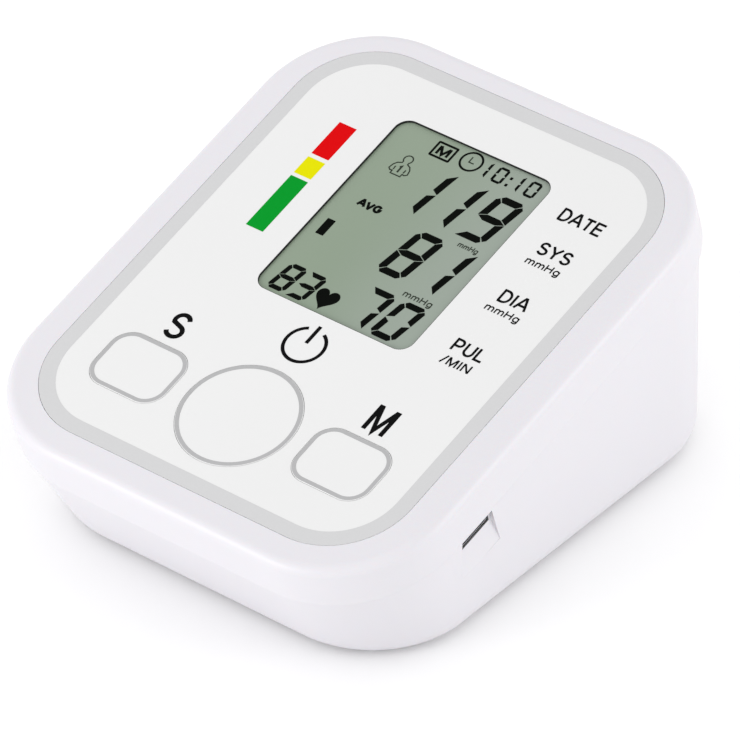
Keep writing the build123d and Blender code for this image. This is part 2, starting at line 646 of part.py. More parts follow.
# ---- lower shell --------------------------------------------------------------------------------
def well_axis(x, slope, bottom, top, radius):
    """Cylinder square to the face at a post's place."""
    return FACE * Pos(x, slope, 0) * rod(radius, bottom, top)


def make_lower_shell():
    outer = case_wedge(0)
    outer = fillet(outer.faces().sort_by(Axis.Z)[0].edges(), FLOOR_ROUND)
    ceiling = FACE_Z + CASE_LENGTH
    above_floor = block((-CASE_WIDTH, -CASE_LENGTH, FLOOR_TOP), (CASE_WIDTH, CASE_LENGTH, ceiling))
    room = case_wedge(WALL) & above_floor
    room = chamfer(room.faces().sort_by(Axis.Z)[0].edges(), FLOOR_ROUND - FLOOR)
    shell = outer - room
    shell += FACE * lip_band(0)

    # battery bay walls and roof
    shell += block(
        (BAY_X[0] - BAY_WALL, BAY_Y[0] - BAY_WALL, FLOOR_TOP),
        (BAY_X[1] + BAY_WALL, BAY_Y[1] + BAY_WALL, BAY_TOP + BAY_WALL),
    )
    for x, slope in POSTS:
        reach = face_depth_at(slope, FOOT_PROUD) - POST_RADIUS
        shell += well_axis(x, slope, reach, -UPPER_DEPTH, POST_RADIUS) & outer
    # cradles of the pump and shelf of the valve
    for y in (PUMP_FRONT_Y + HEAD_LENGTH / 3, PUMP_FRONT_Y + HEAD_LENGTH + MOTOR_LENGTH / 2):
        shell += block(
            (PUMP_X - PUMP_RADIUS - CRADLE_WALL, y, FLOOR_TOP),
            (PUMP_X + PUMP_RADIUS + CRADLE_WALL, y + CRADLE_LENGTH, PUMP_Z),
        )
    shell += valve_shelf()
    shell += usb_posts() & outer

    shell -= block((BAY_X[0], BAY_Y[0], FOOT_PROUD), (BAY_X[1], BAY_Y[1], BAY_TOP))
    rebate_length = BAY_LENGTH + 2 * DOOR_LEDGE
    shell -= Pos(BAY_MID_X, (BAY_Y[0] + BAY_Y[1]) / 2, 0) * slab(
        BAY_WIDTH + 2 * DOOR_LEDGE, rebate_length, DOOR_CORNER + DOOR_GAP, FOOT_PROUD, DOOR_TOP
    )
    shell -= latch_room(LATCH_GAP, FOOT_PROUD, DOOR_TOP)
    shell -= finger_hollow()
    slot_top = FOOT_PROUD + ((FLOOR + TAB_LIFT + TAB_THICK) ** 2 + TAB_REACH ** 2) ** 0.5 + DOOR_GAP
    for x in TAB_PLACES:
        shell -= block(
            (x - TAB_WIDTH / 2 - DOOR_GAP, DOOR_FRONT_Y - DOOR_GAP, DOOR_TOP),
            (x + TAB_WIDTH / 2 + DOOR_GAP, BAY_Y[0], slot_top),
        )
        shell -= block(
            (x - TAB_WIDTH / 2 - DOOR_GAP, BAY_Y[0] - BAY_WALL, FLOOR_TOP),
            (x + TAB_WIDTH / 2 + DOOR_GAP, BAY_Y[0], slot_top),
        )
    for x, slope in POSTS:
        seat = -UPPER_DEPTH - SCREW_SEAT
        reach = face_depth_at(slope, FOOT_PROUD) - POST_RADIUS
        shell -= well_axis(x, slope, reach, seat, WELL_RADIUS)
        shell -= well_axis(x, slope, seat, -UPPER_DEPTH, SCREW_RADIUS + SEAT_GAP)
    for x, y in FOOT_PLACES:
        shell -= Pos(x, y, 0) * rod(FOOT_RADIUS + SEAT_GAP, FOOT_PROUD, FOOT_PROUD + FOOT_POCKET)
    shell -= pump_envelope(SEAT_GAP)
    shell -= along_x(SOCKET_RADIUS + SEAT_GAP, -CASE_WIDTH / 2, SOCKET_COLLAR_X, AIR_LINE_Y, AIR_Z)
    shell -= usb_cut()
    return shell


# ---- feet and housing screws ----------------------------------------------------------------------
def make_rubber_feet():
    feet = []
    for x, y in FOOT_PLACES:
        foot = rod(FOOT_RADIUS, 0, FOOT_PROUD + FOOT_POCKET)
        foot = chamfer(foot.faces().sort_by(Axis.Z)[0].edges(), FOOT_PROUD / 2)
        feet.append(Pos(x, y, 0) * foot)
    return Compound(children=feet)


def make_housing_screws():
    seat = -UPPER_DEPTH - SCREW_SEAT
    screws = []
    for x, slope in POSTS:
        screw = rod(SCREW_RADIUS, seat, -UPPER_DEPTH + SCREW_GRIP - SEAT_GAP)
        screw += rod(SCREW_HEAD_RADIUS, seat - SCREW_HEAD_HEIGHT, seat)
        slot = Box(SCREW_HEAD_RADIUS * 1.3, SCREW_HEAD_RADIUS / 4, SCREW_HEAD_HEIGHT)
        for turn in (0, 90):
            screw -= Pos(0, 0, seat - SCREW_HEAD_HEIGHT) * Rot(0, 0, turn) * slot
        screws.append(FACE * Pos(x, slope, 0) * screw)
    return Compound(children=screws)


# ---- air system -------------------------------------------------------------------------------------
HEAD_BACK_Y = PUMP_FRONT_Y + HEAD_LENGTH
MOTOR_BACK_Y = HEAD_BACK_Y + MOTOR_LENGTH


def pump_envelope(gap):
    """Outside of the pump's head and motor, grown by a gap."""
    side = HEAD_SIDE + 2 * gap
    head = Pos(PUMP_X, PUMP_FRONT_Y - gap, PUMP_Z) * Rot(-90, 0, 0) * slab(
        side, side, HEAD_CORNER, 0, HEAD_LENGTH + 2 * gap
    )
    return head + along_y(PUMP_RADIUS + gap, HEAD_BACK_Y, MOTOR_BACK_Y + gap, PUMP_X, PUMP_Z)


def nipple(length):
    """Hollow air nozzle on the z axis, from z = 0 up, with a barb near its end."""
    barb = Pos(0, 0, length - NIPPLE_RADIUS / 2) * Cone(
        NIPPLE_RADIUS + TUBE_GAP, NIPPLE_RADIUS * 0.8, NIPPLE_RADIUS
    )
    body = rod(NIPPLE_RADIUS, 0, length - NIPPLE_RADIUS) + barb
    return body - rod(NIPPLE_BORE, 0, length)


def make_pump_head():
    head = Pos(PUMP_X, PUMP_FRONT_Y, PUMP_Z) * Rot(-90, 0, 0) * slab(
        HEAD_SIDE, HEAD_SIDE, HEAD_CORNER, 0, HEAD_LENGTH
    )
    chamber_front = HEAD_BACK_Y - CAM_LENGTH - 4 * SEAT_GAP
    head -= along_y(CAM_ROOM, chamber_front, HEAD_BACK_Y, PUMP_X, PUMP_Z)
    for groove in (HEAD_LENGTH * 0.3, HEAD_LENGTH * 0.55):
        inside = HEAD_SIDE - 2 * HEAD_GROOVE
        ring = slab(HEAD_SIDE, HEAD_SIDE, HEAD_CORNER, 0, HEAD_GROOVE)
        ring -= slab(inside, inside, HEAD_CORNER - HEAD_GROOVE, 0, HEAD_GROOVE)
        head -= Pos(PUMP_X, PUMP_FRONT_Y + groove, PUMP_Z) * Rot(-90, 0, 0) * ring
    head += Pos(TEE_X, PUMP_FRONT_Y, AIR_Z) * Rot(90, 0, 0) * nipple(NIPPLE_LENGTH)
    return head


def make_pump_motor():
    motor = along_y(PUMP_RADIUS, HEAD_BACK_Y, MOTOR_BACK_Y, PUMP_X, PUMP_Z)
    motor = chamfer(motor.faces().sort_by(Axis.Y)[-1].edges(), MOTOR_EDGE)
    motor += along_y(END_CAP_RADIUS, MOTOR_BACK_Y, MOTOR_BACK_Y + END_CAP_LENGTH, PUMP_X, PUMP_Z)
    motor -= along_y(SHAFT_RADIUS + SHAFT_GAP, HEAD_BACK_Y, MOTOR_BACK_Y + END_CAP_LENGTH, PUMP_X, PUMP_Z)
    return motor


def make_motor_shaft():
    """Shaft through the motor with the eccentric that drives the pump's diaphragms."""
    cam_back = HEAD_BACK_Y - 2 * SEAT_GAP
    tail = MOTOR_BACK_Y + END_CAP_LENGTH + SHAFT_TAIL
    shaft = along_y(SHAFT_RADIUS, cam_back - CAM_LENGTH, tail, PUMP_X, PUMP_Z)
    shaft += along_y(CAM_RADIUS, cam_back - CAM_LENGTH, cam_back, PUMP_X + CAM_OFFSET, PUMP_Z)
    return shaft


def make_pump_pad():
    """Foam strips between the pump and the floor."""
    strips = []
    for y in (PUMP_FRONT_Y + CRADLE_LENGTH, HEAD_BACK_Y + CRADLE_LENGTH):
        strips.append(
            block(
                (PUMP_X - PAD_WIDTH / 2, y - PAD_LENGTH / 2, FLOOR_TOP),
                (PUMP_X + PAD_WIDTH / 2, y + PAD_LENGTH / 2, PUMP_Z - PUMP_RADIUS),
            )
        )
    return Compound(children=strips)


def make_tee():
    body = Pos(TEE_X, AIR_LINE_Y, AIR_Z) * Box(TEE_SIDE, TEE_SIDE, TEE_SIDE)
    body = chamfer(body.edges(), TEE_EDGE)
    arm = Pos(0, 0, TEE_SIDE / 2) * nipple(NIPPLE_LENGTH)
    short_arm = Pos(0, 0, TEE_SIDE / 2) * nipple(NIPPLE_LENGTH * 0.6)
    middle = Pos(TEE_X, AIR_LINE_Y, AIR_Z)
    body += middle * Rot(0, -90, 0) * arm
    body += middle * Rot(0, 90, 0) * arm
    body += middle * Rot(-90, 0, 0) * arm
    body += middle * short_arm
    body -= along_x(NIPPLE_BORE, TEE_X - TEE_SIDE, TEE_X + TEE_SIDE, AIR_LINE_Y, AIR_Z)
    return body


def sleeve(length):
    """Straight silicone tube on the z axis."""
    inner = NIPPLE_RADIUS + TUBE_GAP + SEAT_GAP / 2
    return rod(inner + TUBE_WALL, 0, length) - rod(inner, 0, length)


def make_socket_tube():
    start = SOCKET_END_X + SEAT_GAP
    end = TEE_X - TEE_SIDE / 2 - SEAT_GAP
    return Pos(start, AIR_LINE_Y, AIR_Z) * Rot(0, 90, 0) * sleeve(end - start)


def make_pump_tube():
    start = AIR_LINE_Y + TEE_SIDE / 2 + SEAT_GAP
    end = PUMP_FRONT_Y - SEAT_GAP
    return Pos(TEE_X, start, AIR_Z) * Rot(-90, 0, 0) * sleeve(end - start)


def make_valve_tube():
    start = TEE_X + TEE_SIDE / 2 + SEAT_GAP
    end = VALVE_X - SEAT_GAP
    return Pos(start, AIR_LINE_Y, AIR_Z) * Rot(0, 90, 0) * sleeve(end - start)


def sensor_place():
    """Where the sensor's port line meets the board, in the face frame."""
    rise = (BOARD_BOTTOM - SENSOR_HEIGHT - SENSOR_PORT) * C + FACE_Z
    slope = (AIR_LINE_Y - FACE_Y + (BOARD_BOTTOM - SENSOR_HEIGHT - SENSOR_PORT) * S) / C
    return slope, rise + slope * S


def make_pressure_sensor():
    slope, _ = sensor_place()
    body = Pos(0, 0, BOARD_BOTTOM - SENSOR_HEIGHT / 2) * Box(SENSOR_SIDE, SENSOR_SIDE, SENSOR_HEIGHT)
    port = Pos(0, 0, BOARD_BOTTOM - SENSOR_HEIGHT) * Rot(180, 0, 0) * nipple(SENSOR_PORT)
    return FACE * Pos(TEE_X, slope, 0) * (body + port)


def make_sensor_tube():
    """Short bent tube from the tee up to the sensor's port."""
    slope, port_z = sensor_place()
    port_tip = Vector(TEE_X, AIR_LINE_Y, port_z)
    out = Vector(0, -S, C)
    start = Vector(TEE_X, AIR_LINE_Y, AIR_Z + TEE_SIDE / 2 + SEAT_GAP)
    end = port_tip + out * (SENSOR_PORT - SEAT_GAP)
    path = Polyline(start, port_tip, end)
    inner = NIPPLE_RADIUS + TUBE_GAP + SEAT_GAP / 2
    section = Plane(origin=start, z_dir=(0, 0, 1)) * (Circle(inner + TUBE_WALL) - Circle(inner))
    return sweep(section, path=path, transition=Transition.RIGHT)


def make_air_socket():
    """Moulded socket for the cuff's air plug: bore open to the left, nipple to the inside."""
    socket = along_x(SOCKET_RADIUS, SOCKET_MOUTH_X, SOCKET_END_X, AIR_LINE_Y, AIR_Z)
    socket -= along_x(SOCKET_BORE, SOCKET_MOUTH_X, SOCKET_MOUTH_X + SOCKET_DEPTH, AIR_LINE_Y, AIR_Z)
    collar_end = SOCKET_COLLAR_X + SOCKET_BASE
    collar = along_x(SOCKET_RADIUS + SOCKET_FLANGE, SOCKET_COLLAR_X, collar_end, AIR_LINE_Y, AIR_Z)
    socket += collar - along_x(SOCKET_RADIUS, SOCKET_COLLAR_X, collar_end, AIR_LINE_Y, AIR_Z)
    socket += Pos(SOCKET_END_X, AIR_LINE_Y, AIR_Z) * Rot(0, 90, 0) * nipple(SOCKET_NOZZLE)
    socket -= along_x(NIPPLE_BORE, SOCKET_MOUTH_X + SOCKET_DEPTH, SOCKET_END_X, AIR_LINE_Y, AIR_Z)
    return socket


def valve_body_low():
    return (VALVE_X, AIR_LINE_Y - VALVE_SIDE / 2, FOOT_PROUD + VALVE_BASE)


def valve_shelf():
    """Locating shelf under the valve."""
    low = valve_body_low()
    lip = low[2] + SHELF_LIP
    shelf = block(
        (low[0] + SHELF_INSET, low[1] - SHELF_WALL, FLOOR_TOP),
        (low[0] + VALVE_LENGTH - SHELF_INSET, low[1] + VALVE_SIDE + SHELF_WALL, lip),
    )
    room = block(
        (low[0], low[1] - SEAT_GAP, low[2]), (low[0] + VALVE_LENGTH, low[1] + VALVE_SIDE + SEAT_GAP, lip)
    )
    return shelf - room


def make_air_valve():
    low = valve_body_low()
    body = block(low, (low[0] + VALVE_LENGTH, low[1] + VALVE_SIDE, low[2] + VALVE_SIDE))
    body = chamfer(body.edges().filter_by(Axis.X), VALVE_EDGE)
    axis_z = low[2] + VALVE_SIDE / 2
    depth = VALVE_LENGTH / 2
    bore = VALVE_PIN_RADIUS + VALVE_PIN_GAP
    body -= along_x(bore, VALVE_X + depth, VALVE_X + VALVE_LENGTH, AIR_LINE_Y, axis_z)
    body += Pos(VALVE_X, AIR_LINE_Y, AIR_Z) * Rot(0, -90, 0) * nipple(NIPPLE_LENGTH)
    return body


def make_valve_pin():
    """Armature of the valve; it stands out of the coil and is drawn in to close the air path."""
    low = valve_body_low()
    axis_z = low[2] + VALVE_SIDE / 2
    start = VALVE_X + VALVE_LENGTH / 2 + VALVE_PIN_TRAVEL + SEAT_GAP
    end = VALVE_X + VALVE_LENGTH + VALVE_PIN_PROUD
    pin = along_x(VALVE_PIN_RADIUS, start, end, AIR_LINE_Y, axis_z)
    pin += along_x(VALVE_PIN_RADIUS + VALVE_PIN_RIM, end - VALVE_PIN_HEAD, end, AIR_LINE_Y, axis_z)
    return pin


# ---- USB power socket ---------------------------------------------------------------------------------
def usb_cut():
    """Scoop in the right wall, deepest under the slot's upper edge, and the slot behind it."""
    outside = CASE_WIDTH / 2 + 1
    half = USB_SLOT_LENGTH / 2 + SCOOP_MARGIN
    wide = half + SCOOP_FLARE
    low = USB_EDGE_DEPTH - SCOOP_LENGTH
    edge = wall_at_slot(low)
    top = Plane.XY.offset(USB_EDGE_DEPTH) * Polygon(
        (SCOOP_X, USB_ROW - half), (outside, USB_ROW - half),
        (outside, USB_ROW + half), (SCOOP_X, USB_ROW + half), align=None,
    )
    base = Plane.XY.offset(low) * Polygon(
        (edge, USB_ROW - wide), (outside, USB_ROW - wide),
        (outside, USB_ROW + wide), (edge, USB_ROW + wide), align=None,
    )
    slot = block(
        (SCOOP_X - 2 * WALL, USB_ROW - USB_SLOT_LENGTH / 2, USB_EDGE_DEPTH - USB_SLOT_HEIGHT),
        (SCOOP_X + SCOOP_DEPTH, USB_ROW + USB_SLOT_LENGTH / 2, USB_EDGE_DEPTH),
    )
    return FACE * (loft([base, top], ruled=True) + slot)


def usb_board_box():
    """Corners of the socket's board, in the face frame."""
    x_high = SCOOP_X - SEAT_GAP
    low = (x_high - USB_BOARD_LENGTH, USB_ROW - USB_BOARD_WIDTH / 2, USB_BOARD_TOP - USB_BOARD_THICK)
    high = (x_high - WALL, USB_ROW + USB_BOARD_WIDTH / 2, USB_BOARD_TOP)
    return low, high


def usb_posts():
    """Two ribs that carry the socket's board; they run down past the floor and are trimmed by it."""
    low, high = usb_board_box()
    ribs = Part()
    for y in (low[1], high[1] - USB_POST_SIDE):
        ribs += block((low[0], y, -FACE_Z), (SCOOP_X, y + USB_POST_SIDE, low[2]))
    return FACE * ribs


def make_usb_board():
    return FACE * block(*usb_board_box())


def make_usb_socket():
    """Metal shell of the socket with its tongue, mouth to the right."""
    x_high = SCOOP_X - SEAT_GAP
    shell = block(
        (x_high - USB_LENGTH, USB_ROW - USB_WIDTH / 2, USB_BOARD_TOP),
        (x_high, USB_ROW + USB_WIDTH / 2, USB_BOARD_TOP + USB_HEIGHT),
    )
    shell = fillet(shell.edges().filter_by(Axis.X), USB_EDGE)
    shell -= block(
        (x_high - USB_LENGTH + USB_BACK, USB_ROW - USB_WIDTH / 2 + USB_SKIN, USB_BOARD_TOP + USB_SKIN),
        (x_high, USB_ROW + USB_WIDTH / 2 - USB_SKIN, USB_BOARD_TOP + USB_HEIGHT - USB_SKIN),
    )
    shell += block(
        (x_high - USB_LENGTH + USB_BACK, USB_ROW - USB_WIDTH / 3, USB_MID_DEPTH - USB_TONGUE / 2),
        (x_high - USB_TONGUE_BACK, USB_ROW + USB_WIDTH / 3, USB_MID_DEPTH + USB_TONGUE / 2),
    )
    return FACE * shell


# ---- write every piece ----------------------------------------------------------------------------------
pieces = {
    "upper_shell": make_upper_shell(),
    "lower_shell": make_lower_shell(),
    "face_panel": make_face_panel(),
    "display_window": make_display_window(),
    "lcd_cell": make_lcd_cell(),
    "lcd_frame": make_lcd_frame(),
    "lcd_contact_strips": make_contact_strips(),
    "main_board": make_main_board(),
    "board_chips": make_board_chips(),
    "board_screws": make_board_screws(),
    "buzzer": make_buzzer(),
    "switch_bodies": make_switch_bodies(),
    "battery_door": make_battery_door(),
    "battery_contacts": make_battery_contacts(),
    "battery_springs": make_battery_springs(),
    "rubber_feet": make_rubber_feet(),
    "housing_screws": make_housing_screws(),
    "pump_head": make_pump_head(),
    "pump_motor": make_pump_motor(),
    "motor_shaft": make_motor_shaft(),
    "pump_pads": make_pump_pad(),
    "air_tee": make_tee(),
    "air_socket": make_air_socket(),
    "socket_tube": make_socket_tube(),
    "pump_tube": make_pump_tube(),
    "valve_tube": make_valve_tube(),
    "sensor_tube": make_sensor_tube(),
    "air_valve": make_air_valve(),
    "valve_pin": make_valve_pin(),
    "pressure_sensor": make_pressure_sensor(),
    "usb_board": make_usb_board(),
    "usb_socket": make_usb_socket(),
}
for key in KEYS:
    pieces[f"{key}_key"] = make_key(key)
    pieces[f"{key}_switch_plunger"] = make_plunger(key)
for number in range(CELL_COUNT):
    pieces[f"battery_{number + 1}"] = make_battery(number)

for name, piece in pieces.items():
    export_step(piece, f"parts/{name}.step")
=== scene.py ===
import json
import math

import bpy
from mathutils import Matrix, Vector
from mathutils.geometry import delaunay_2d_cdt


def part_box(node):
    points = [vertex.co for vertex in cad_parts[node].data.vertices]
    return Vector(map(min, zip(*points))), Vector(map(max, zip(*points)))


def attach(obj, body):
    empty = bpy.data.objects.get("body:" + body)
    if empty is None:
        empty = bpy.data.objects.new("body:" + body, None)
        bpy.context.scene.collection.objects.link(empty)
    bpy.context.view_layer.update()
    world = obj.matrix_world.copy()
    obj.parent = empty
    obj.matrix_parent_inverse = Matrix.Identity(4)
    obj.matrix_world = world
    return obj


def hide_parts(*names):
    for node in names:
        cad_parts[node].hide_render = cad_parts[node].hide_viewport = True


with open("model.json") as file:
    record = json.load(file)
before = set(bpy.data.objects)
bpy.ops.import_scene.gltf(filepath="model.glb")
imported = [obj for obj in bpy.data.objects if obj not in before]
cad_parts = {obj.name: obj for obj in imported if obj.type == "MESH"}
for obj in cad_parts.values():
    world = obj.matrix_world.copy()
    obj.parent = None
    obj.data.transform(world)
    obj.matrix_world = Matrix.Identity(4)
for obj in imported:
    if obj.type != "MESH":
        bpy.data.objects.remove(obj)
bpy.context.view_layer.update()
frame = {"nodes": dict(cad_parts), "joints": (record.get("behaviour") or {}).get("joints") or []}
nodes = frame["nodes"]

MM = 0.001

# ---- the tilted face ---------------------------
# Places on the face are (across, up the slope, out of the face), in millimetres from the
# middle of the face panel's top.
JOINTS = {joint["name"]: joint for joint in frame["joints"]}
FACE_OUT = -Vector(JOINTS["power_key_press"]["axis"]).normalized()
FACE_UP = Vector((0.0, FACE_OUT.z, -FACE_OUT.y))
TILT_COS, TILT_SIN = FACE_OUT.z, -FACE_OUT.y


def slab_on_face(node):
    """Middle of the top, length up the slope and thickness of a slab in the face, in metres."""
    low, high = (Vector(corner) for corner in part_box(node))
    run, rise = (high - low).y, (high - low).z
    spread = TILT_COS ** 2 - TILT_SIN ** 2
    thickness = (rise * TILT_COS - run * TILT_SIN) / spread
    length = (run * TILT_COS - rise * TILT_SIN) / spread
    middle = (low + high) / 2 + FACE_OUT * thickness / 2
    return middle, length, thickness


PANEL_TOP, PANEL_LENGTH, PANEL_THICK = slab_on_face("face_panel")


def top_on_face(node):
    """Height of a node's highest point over the panel's top, out of the face, in millimetres."""
    return max((point.co - PANEL_TOP).dot(FACE_OUT) for point in nodes[node].data.vertices) / MM


FACE = Matrix.Translation(PANEL_TOP) @ Matrix((
    (1, 0, 0, 0),
    (0, FACE_UP.y, FACE_OUT.y, 0),
    (0, FACE_UP.z, FACE_OUT.z, 0),
    (0, 0, 0, 1),
)) @ Matrix.Scale(MM, 4)


def new_object(name, data):
    """A new object in the scene."""
    made = bpy.data.objects.new(name, data)
    bpy.context.scene.collection.objects.link(made)
    return made


# ---- nodes and colours -------------------------
def linear(code):
    """sRGB hex to linear RGBA."""
    parts = [int(code[i:i + 2], 16) / 255 for i in (0, 2, 4)]
    return [c / 12.92 if c <= 0.04045 else ((c + 0.055) / 1.055) ** 2.4 for c in parts] + [1.0]


def add(tree, kind, settings=None, **inputs):
    """Adds a node. settings are its properties; inputs are its values or the sockets that feed
    them, by name or _number."""
    made = tree.nodes.new(kind)
    for name, value in (settings or {}).items():
        setattr(made, name, value)
    for name, value in inputs.items():
        key = int(name[1:]) if name.startswith("_") else name.replace("_", " ")
        if isinstance(value, bpy.types.NodeSocket):
            tree.links.new(value, made.inputs[key])
        else:
            made.inputs[key].default_value = value
    return made


def start_material(name, **shader):
    """A new material with its shader; returns the material, tree, shader and object coordinates."""
    material = bpy.data.materials.new(name)
    material.use_nodes = True
    tree = material.node_tree
    tree.nodes.clear()
    surface = add(tree, "ShaderNodeBsdfPrincipled", **shader)
    add(tree, "ShaderNodeOutputMaterial", Surface=surface.outputs[0])
    place = add(tree, "ShaderNodeTexCoord").outputs["Object"]
    return material, tree, surface, place


TWO_COLOURS = {"data_type": "RGBA"}              # what a Mix node blends


def drive(tree, surface, colour=None, roughness=None, normal=None):
    """Links what the pattern nodes give to the shader."""
    ends = ((colour, 2, "Base Color"), (roughness, 0, "Roughness"), (normal, 0, "Normal"))
    for node, out, name in ends:
        if node:
            tree.links.new(node.outputs[out], surface.inputs[name])


def blend(tree, share, light, dark):
    """Mixes two colours by the share of the dark one that a socket gives."""
    return add(tree, "ShaderNodeMix", TWO_COLOURS, _0=share, _6=linear(light), _7=linear(dark))


def mottle(tree, surface, pattern, light, dark, gloss):
    """Lets one pattern drive both the colour and the roughness of a shader."""
    tone = blend(tree, pattern.outputs[0], light, dark)
    polish = add(tree, "ShaderNodeMapRange", Value=pattern.outputs[0],
                 To_Min=gloss[0], To_Max=gloss[1])
    drive(tree, surface, tone, polish)


def per_mm(size):
    """Noise scale whose blotches are about this many millimetres across."""
    return 0.5 / (size * MM)


# ---- materials ---------------------------------
def moulded_abs(name, light, dark, grain_mm=0.35, grain_depth_mm=0.004, gloss=(0.36, 0.44)):
    """Injection moulded plastic from a spark eroded mould: satin, with a fine even grain that
    softens highlights, and a faint flow clouding. The real grain is 0.05 mm; it is drawn coarser
    so that it shows."""
    material, tree, surface, place = start_material(
        name, IOR=1.54, Subsurface_Weight=0.05, Subsurface_Scale=1.5 * MM
    )
    cloud = add(tree, "ShaderNodeTexNoise", Vector=place, Scale=per_mm(28), Detail=3.0)
    mottle(tree, surface, cloud, light, dark, gloss)
    grain = add(tree, "ShaderNodeTexNoise", Vector=place, Scale=per_mm(grain_mm), Detail=1.0)
    relief = add(tree, "ShaderNodeBump", Strength=0.5, Distance=grain_depth_mm * MM,
                 Height=grain.outputs[0])
    drive(tree, surface, normal=relief)
    return material


def printed_sheet(name, light, dark):
    """Back-printed polycarbonate sheet with a velvet face: flatter than the moulded case and finer
    in its grain."""
    material, tree, surface, place = start_material(name, IOR=1.58)
    cloud = add(tree, "ShaderNodeTexNoise", Vector=place, Scale=per_mm(40))
    tone = blend(tree, cloud.outputs[0], light, dark)
    haze = add(tree, "ShaderNodeTexNoise", Vector=place, Scale=per_mm(0.6))
    polish = add(tree, "ShaderNodeMapRange", Value=haze.outputs[0], To_Min=0.33, To_Max=0.39)
    velvet = add(tree, "ShaderNodeTexNoise", Vector=place, Scale=per_mm(0.22), Detail=1.0)
    relief = add(tree, "ShaderNodeBump", Strength=0.4, Distance=0.002 * MM,
                 Height=velvet.outputs[0])
    drive(tree, surface, tone, polish, relief)
    return material


def dull_film(name, light, dark, blotch_mm, gloss):
    """A dense film that throws back almost no light, faintly uneven in blotches."""
    material, tree, surface, place = start_material(name, IOR=1.5, Specular_IOR_Level=0.03)
    blotch = add(tree, "ShaderNodeTexNoise", Vector=place, Scale=per_mm(blotch_mm))
    mottle(tree, surface, blotch, light, dark, gloss)
    return material


def screen_ink(name, code, worn):
    """Screen printed ink behind a velvet coat: dull, so that black stays black, and a little uneven
    where the mesh of the screen lets it through."""
    return dull_film(name, code, worn, 0.3, (0.38, 0.48))


def display_segment(name, code, soft):
    """Switched-on liquid crystal behind its glass: nearly black, with a green cast."""
    return dull_film(name, code, soft, 1.5, (0.22, 0.3))


GREEN_UNTIL, GREY_FROM = -14, 21          # across the display, in millimetres


def display_glass():
    """Reflective liquid crystal cell: polariser over a brushed foil, green on the left and greyer
    towards the right, with very fine brush lines across."""
    material, tree, surface, place = start_material(
        "liquid_crystal_glass", IOR=1.5, Roughness=0.3, Specular_IOR_Level=0.3
    )
    across = add(tree, "ShaderNodeSeparateXYZ", Vector=place)
    shift = add(tree, "ShaderNodeMapRange", {"interpolation_type": "SMOOTHSTEP"},
                Value=across.outputs[0], From_Min=GREEN_UNTIL * MM, From_Max=GREY_FROM * MM)
    cloud = add(tree, "ShaderNodeTexNoise", Vector=place, Scale=per_mm(16), Detail=1.0)
    green = blend(tree, cloud.outputs[0], "7E8E7A", "8B9887")
    tone = add(tree, "ShaderNodeMix", TWO_COLOURS, _0=shift.outputs[0], _6=green.outputs[2],
               _7=linear("8F998F"))
    stretched = add(tree, "ShaderNodeMapping", Vector=place, Scale=(1.0, 0.06, 0.06))
    brush = add(tree, "ShaderNodeTexNoise", Vector=stretched.outputs[0], Scale=per_mm(0.12),
                Detail=1.0)
    relief = add(tree, "ShaderNodeBump", Strength=0.15, Distance=0.002 * MM,
                 Height=brush.outputs[0])
    drive(tree, surface, tone, None, relief)
    return material


def clear_acrylic():
    """Polished acrylic lens: almost invisible but for its reflections."""
    material, tree, surface, place = start_material("polished_acrylic", IOR=1.49, Alpha=0.05)
    tint = add(tree, "ShaderNodeTexNoise", Vector=place, Scale=per_mm(30))
    mottle(tree, surface, tint, "3C423C", "343A34", (0.03, 0.06))
    return material


def rubber(name, light, dark, rough=(0.6, 0.75)):
    """Moulded silicone rubber: matt, with a fine pale bloom that breaks up its shading."""
    material, tree, surface, place = start_material(name, IOR=1.41)
    bloom = add(tree, "ShaderNodeTexNoise", Vector=place, Scale=per_mm(1.2), Detail=4.0)
    mottle(tree, surface, bloom, light, dark, rough)
    skin = add(tree, "ShaderNodeTexNoise", Vector=place, Scale=per_mm(0.15))
    relief = add(tree, "ShaderNodeBump", Strength=0.5, Distance=0.006 * MM, Height=skin.outputs[0])
    drive(tree, surface, normal=relief)
    return material


def metal(name, light, dark, rough=(0.25, 0.4), drawn=(1.0, 1.0, 1.0)):
    """Plated steel, drawn or turned: bright, with fine streaks along the tool's way."""
    material, tree, surface, place = start_material(name, Metallic=1.0)
    along = add(tree, "ShaderNodeMapping", Vector=place, Scale=drawn)
    streak = add(tree, "ShaderNodeTexNoise", Vector=along.outputs[0], Scale=per_mm(0.25),
                 Detail=3.0)
    mottle(tree, surface, streak, light, dark, rough)
    relief = add(tree, "ShaderNodeBump", Strength=0.3, Distance=0.002 * MM,
                 Height=streak.outputs[0])
    drive(tree, surface, normal=relief)
    return material


TRACK_CELL = 4            # millimetres to one unit of the track pattern


def circuit_laminate():
    """Glass epoxy board under glossy green solder resist, with the copper tracks raised beneath
    it."""
    material, tree, surface, place = start_material("green_solder_resist", IOR=1.5)
    tracks = add(tree, "ShaderNodeTexBrick", {"offset": 0.5}, Vector=place,
                 Scale=1 / (TRACK_CELL * MM), Mortar_Size=0.03, Brick_Width=2.5, Row_Height=0.35)
    tone = blend(tree, tracks.outputs[1], "0E4A24", "1B6B35")
    pools = add(tree, "ShaderNodeTexNoise", Vector=place, Scale=per_mm(2.0))
    polish = add(tree, "ShaderNodeMapRange", Value=pools.outputs[0], To_Min=0.25, To_Max=0.35)
    relief = add(tree, "ShaderNodeBump", Strength=0.5, Distance=0.03 * MM, Height=tracks.outputs[1])
    drive(tree, surface, tone, polish, relief)
    return material


CELLS = ("battery_1", "battery_2", "battery_3", "battery_4")
PLUS_IN_FRONT = ("battery_1", "battery_3")       # the other two lie the opposite way round
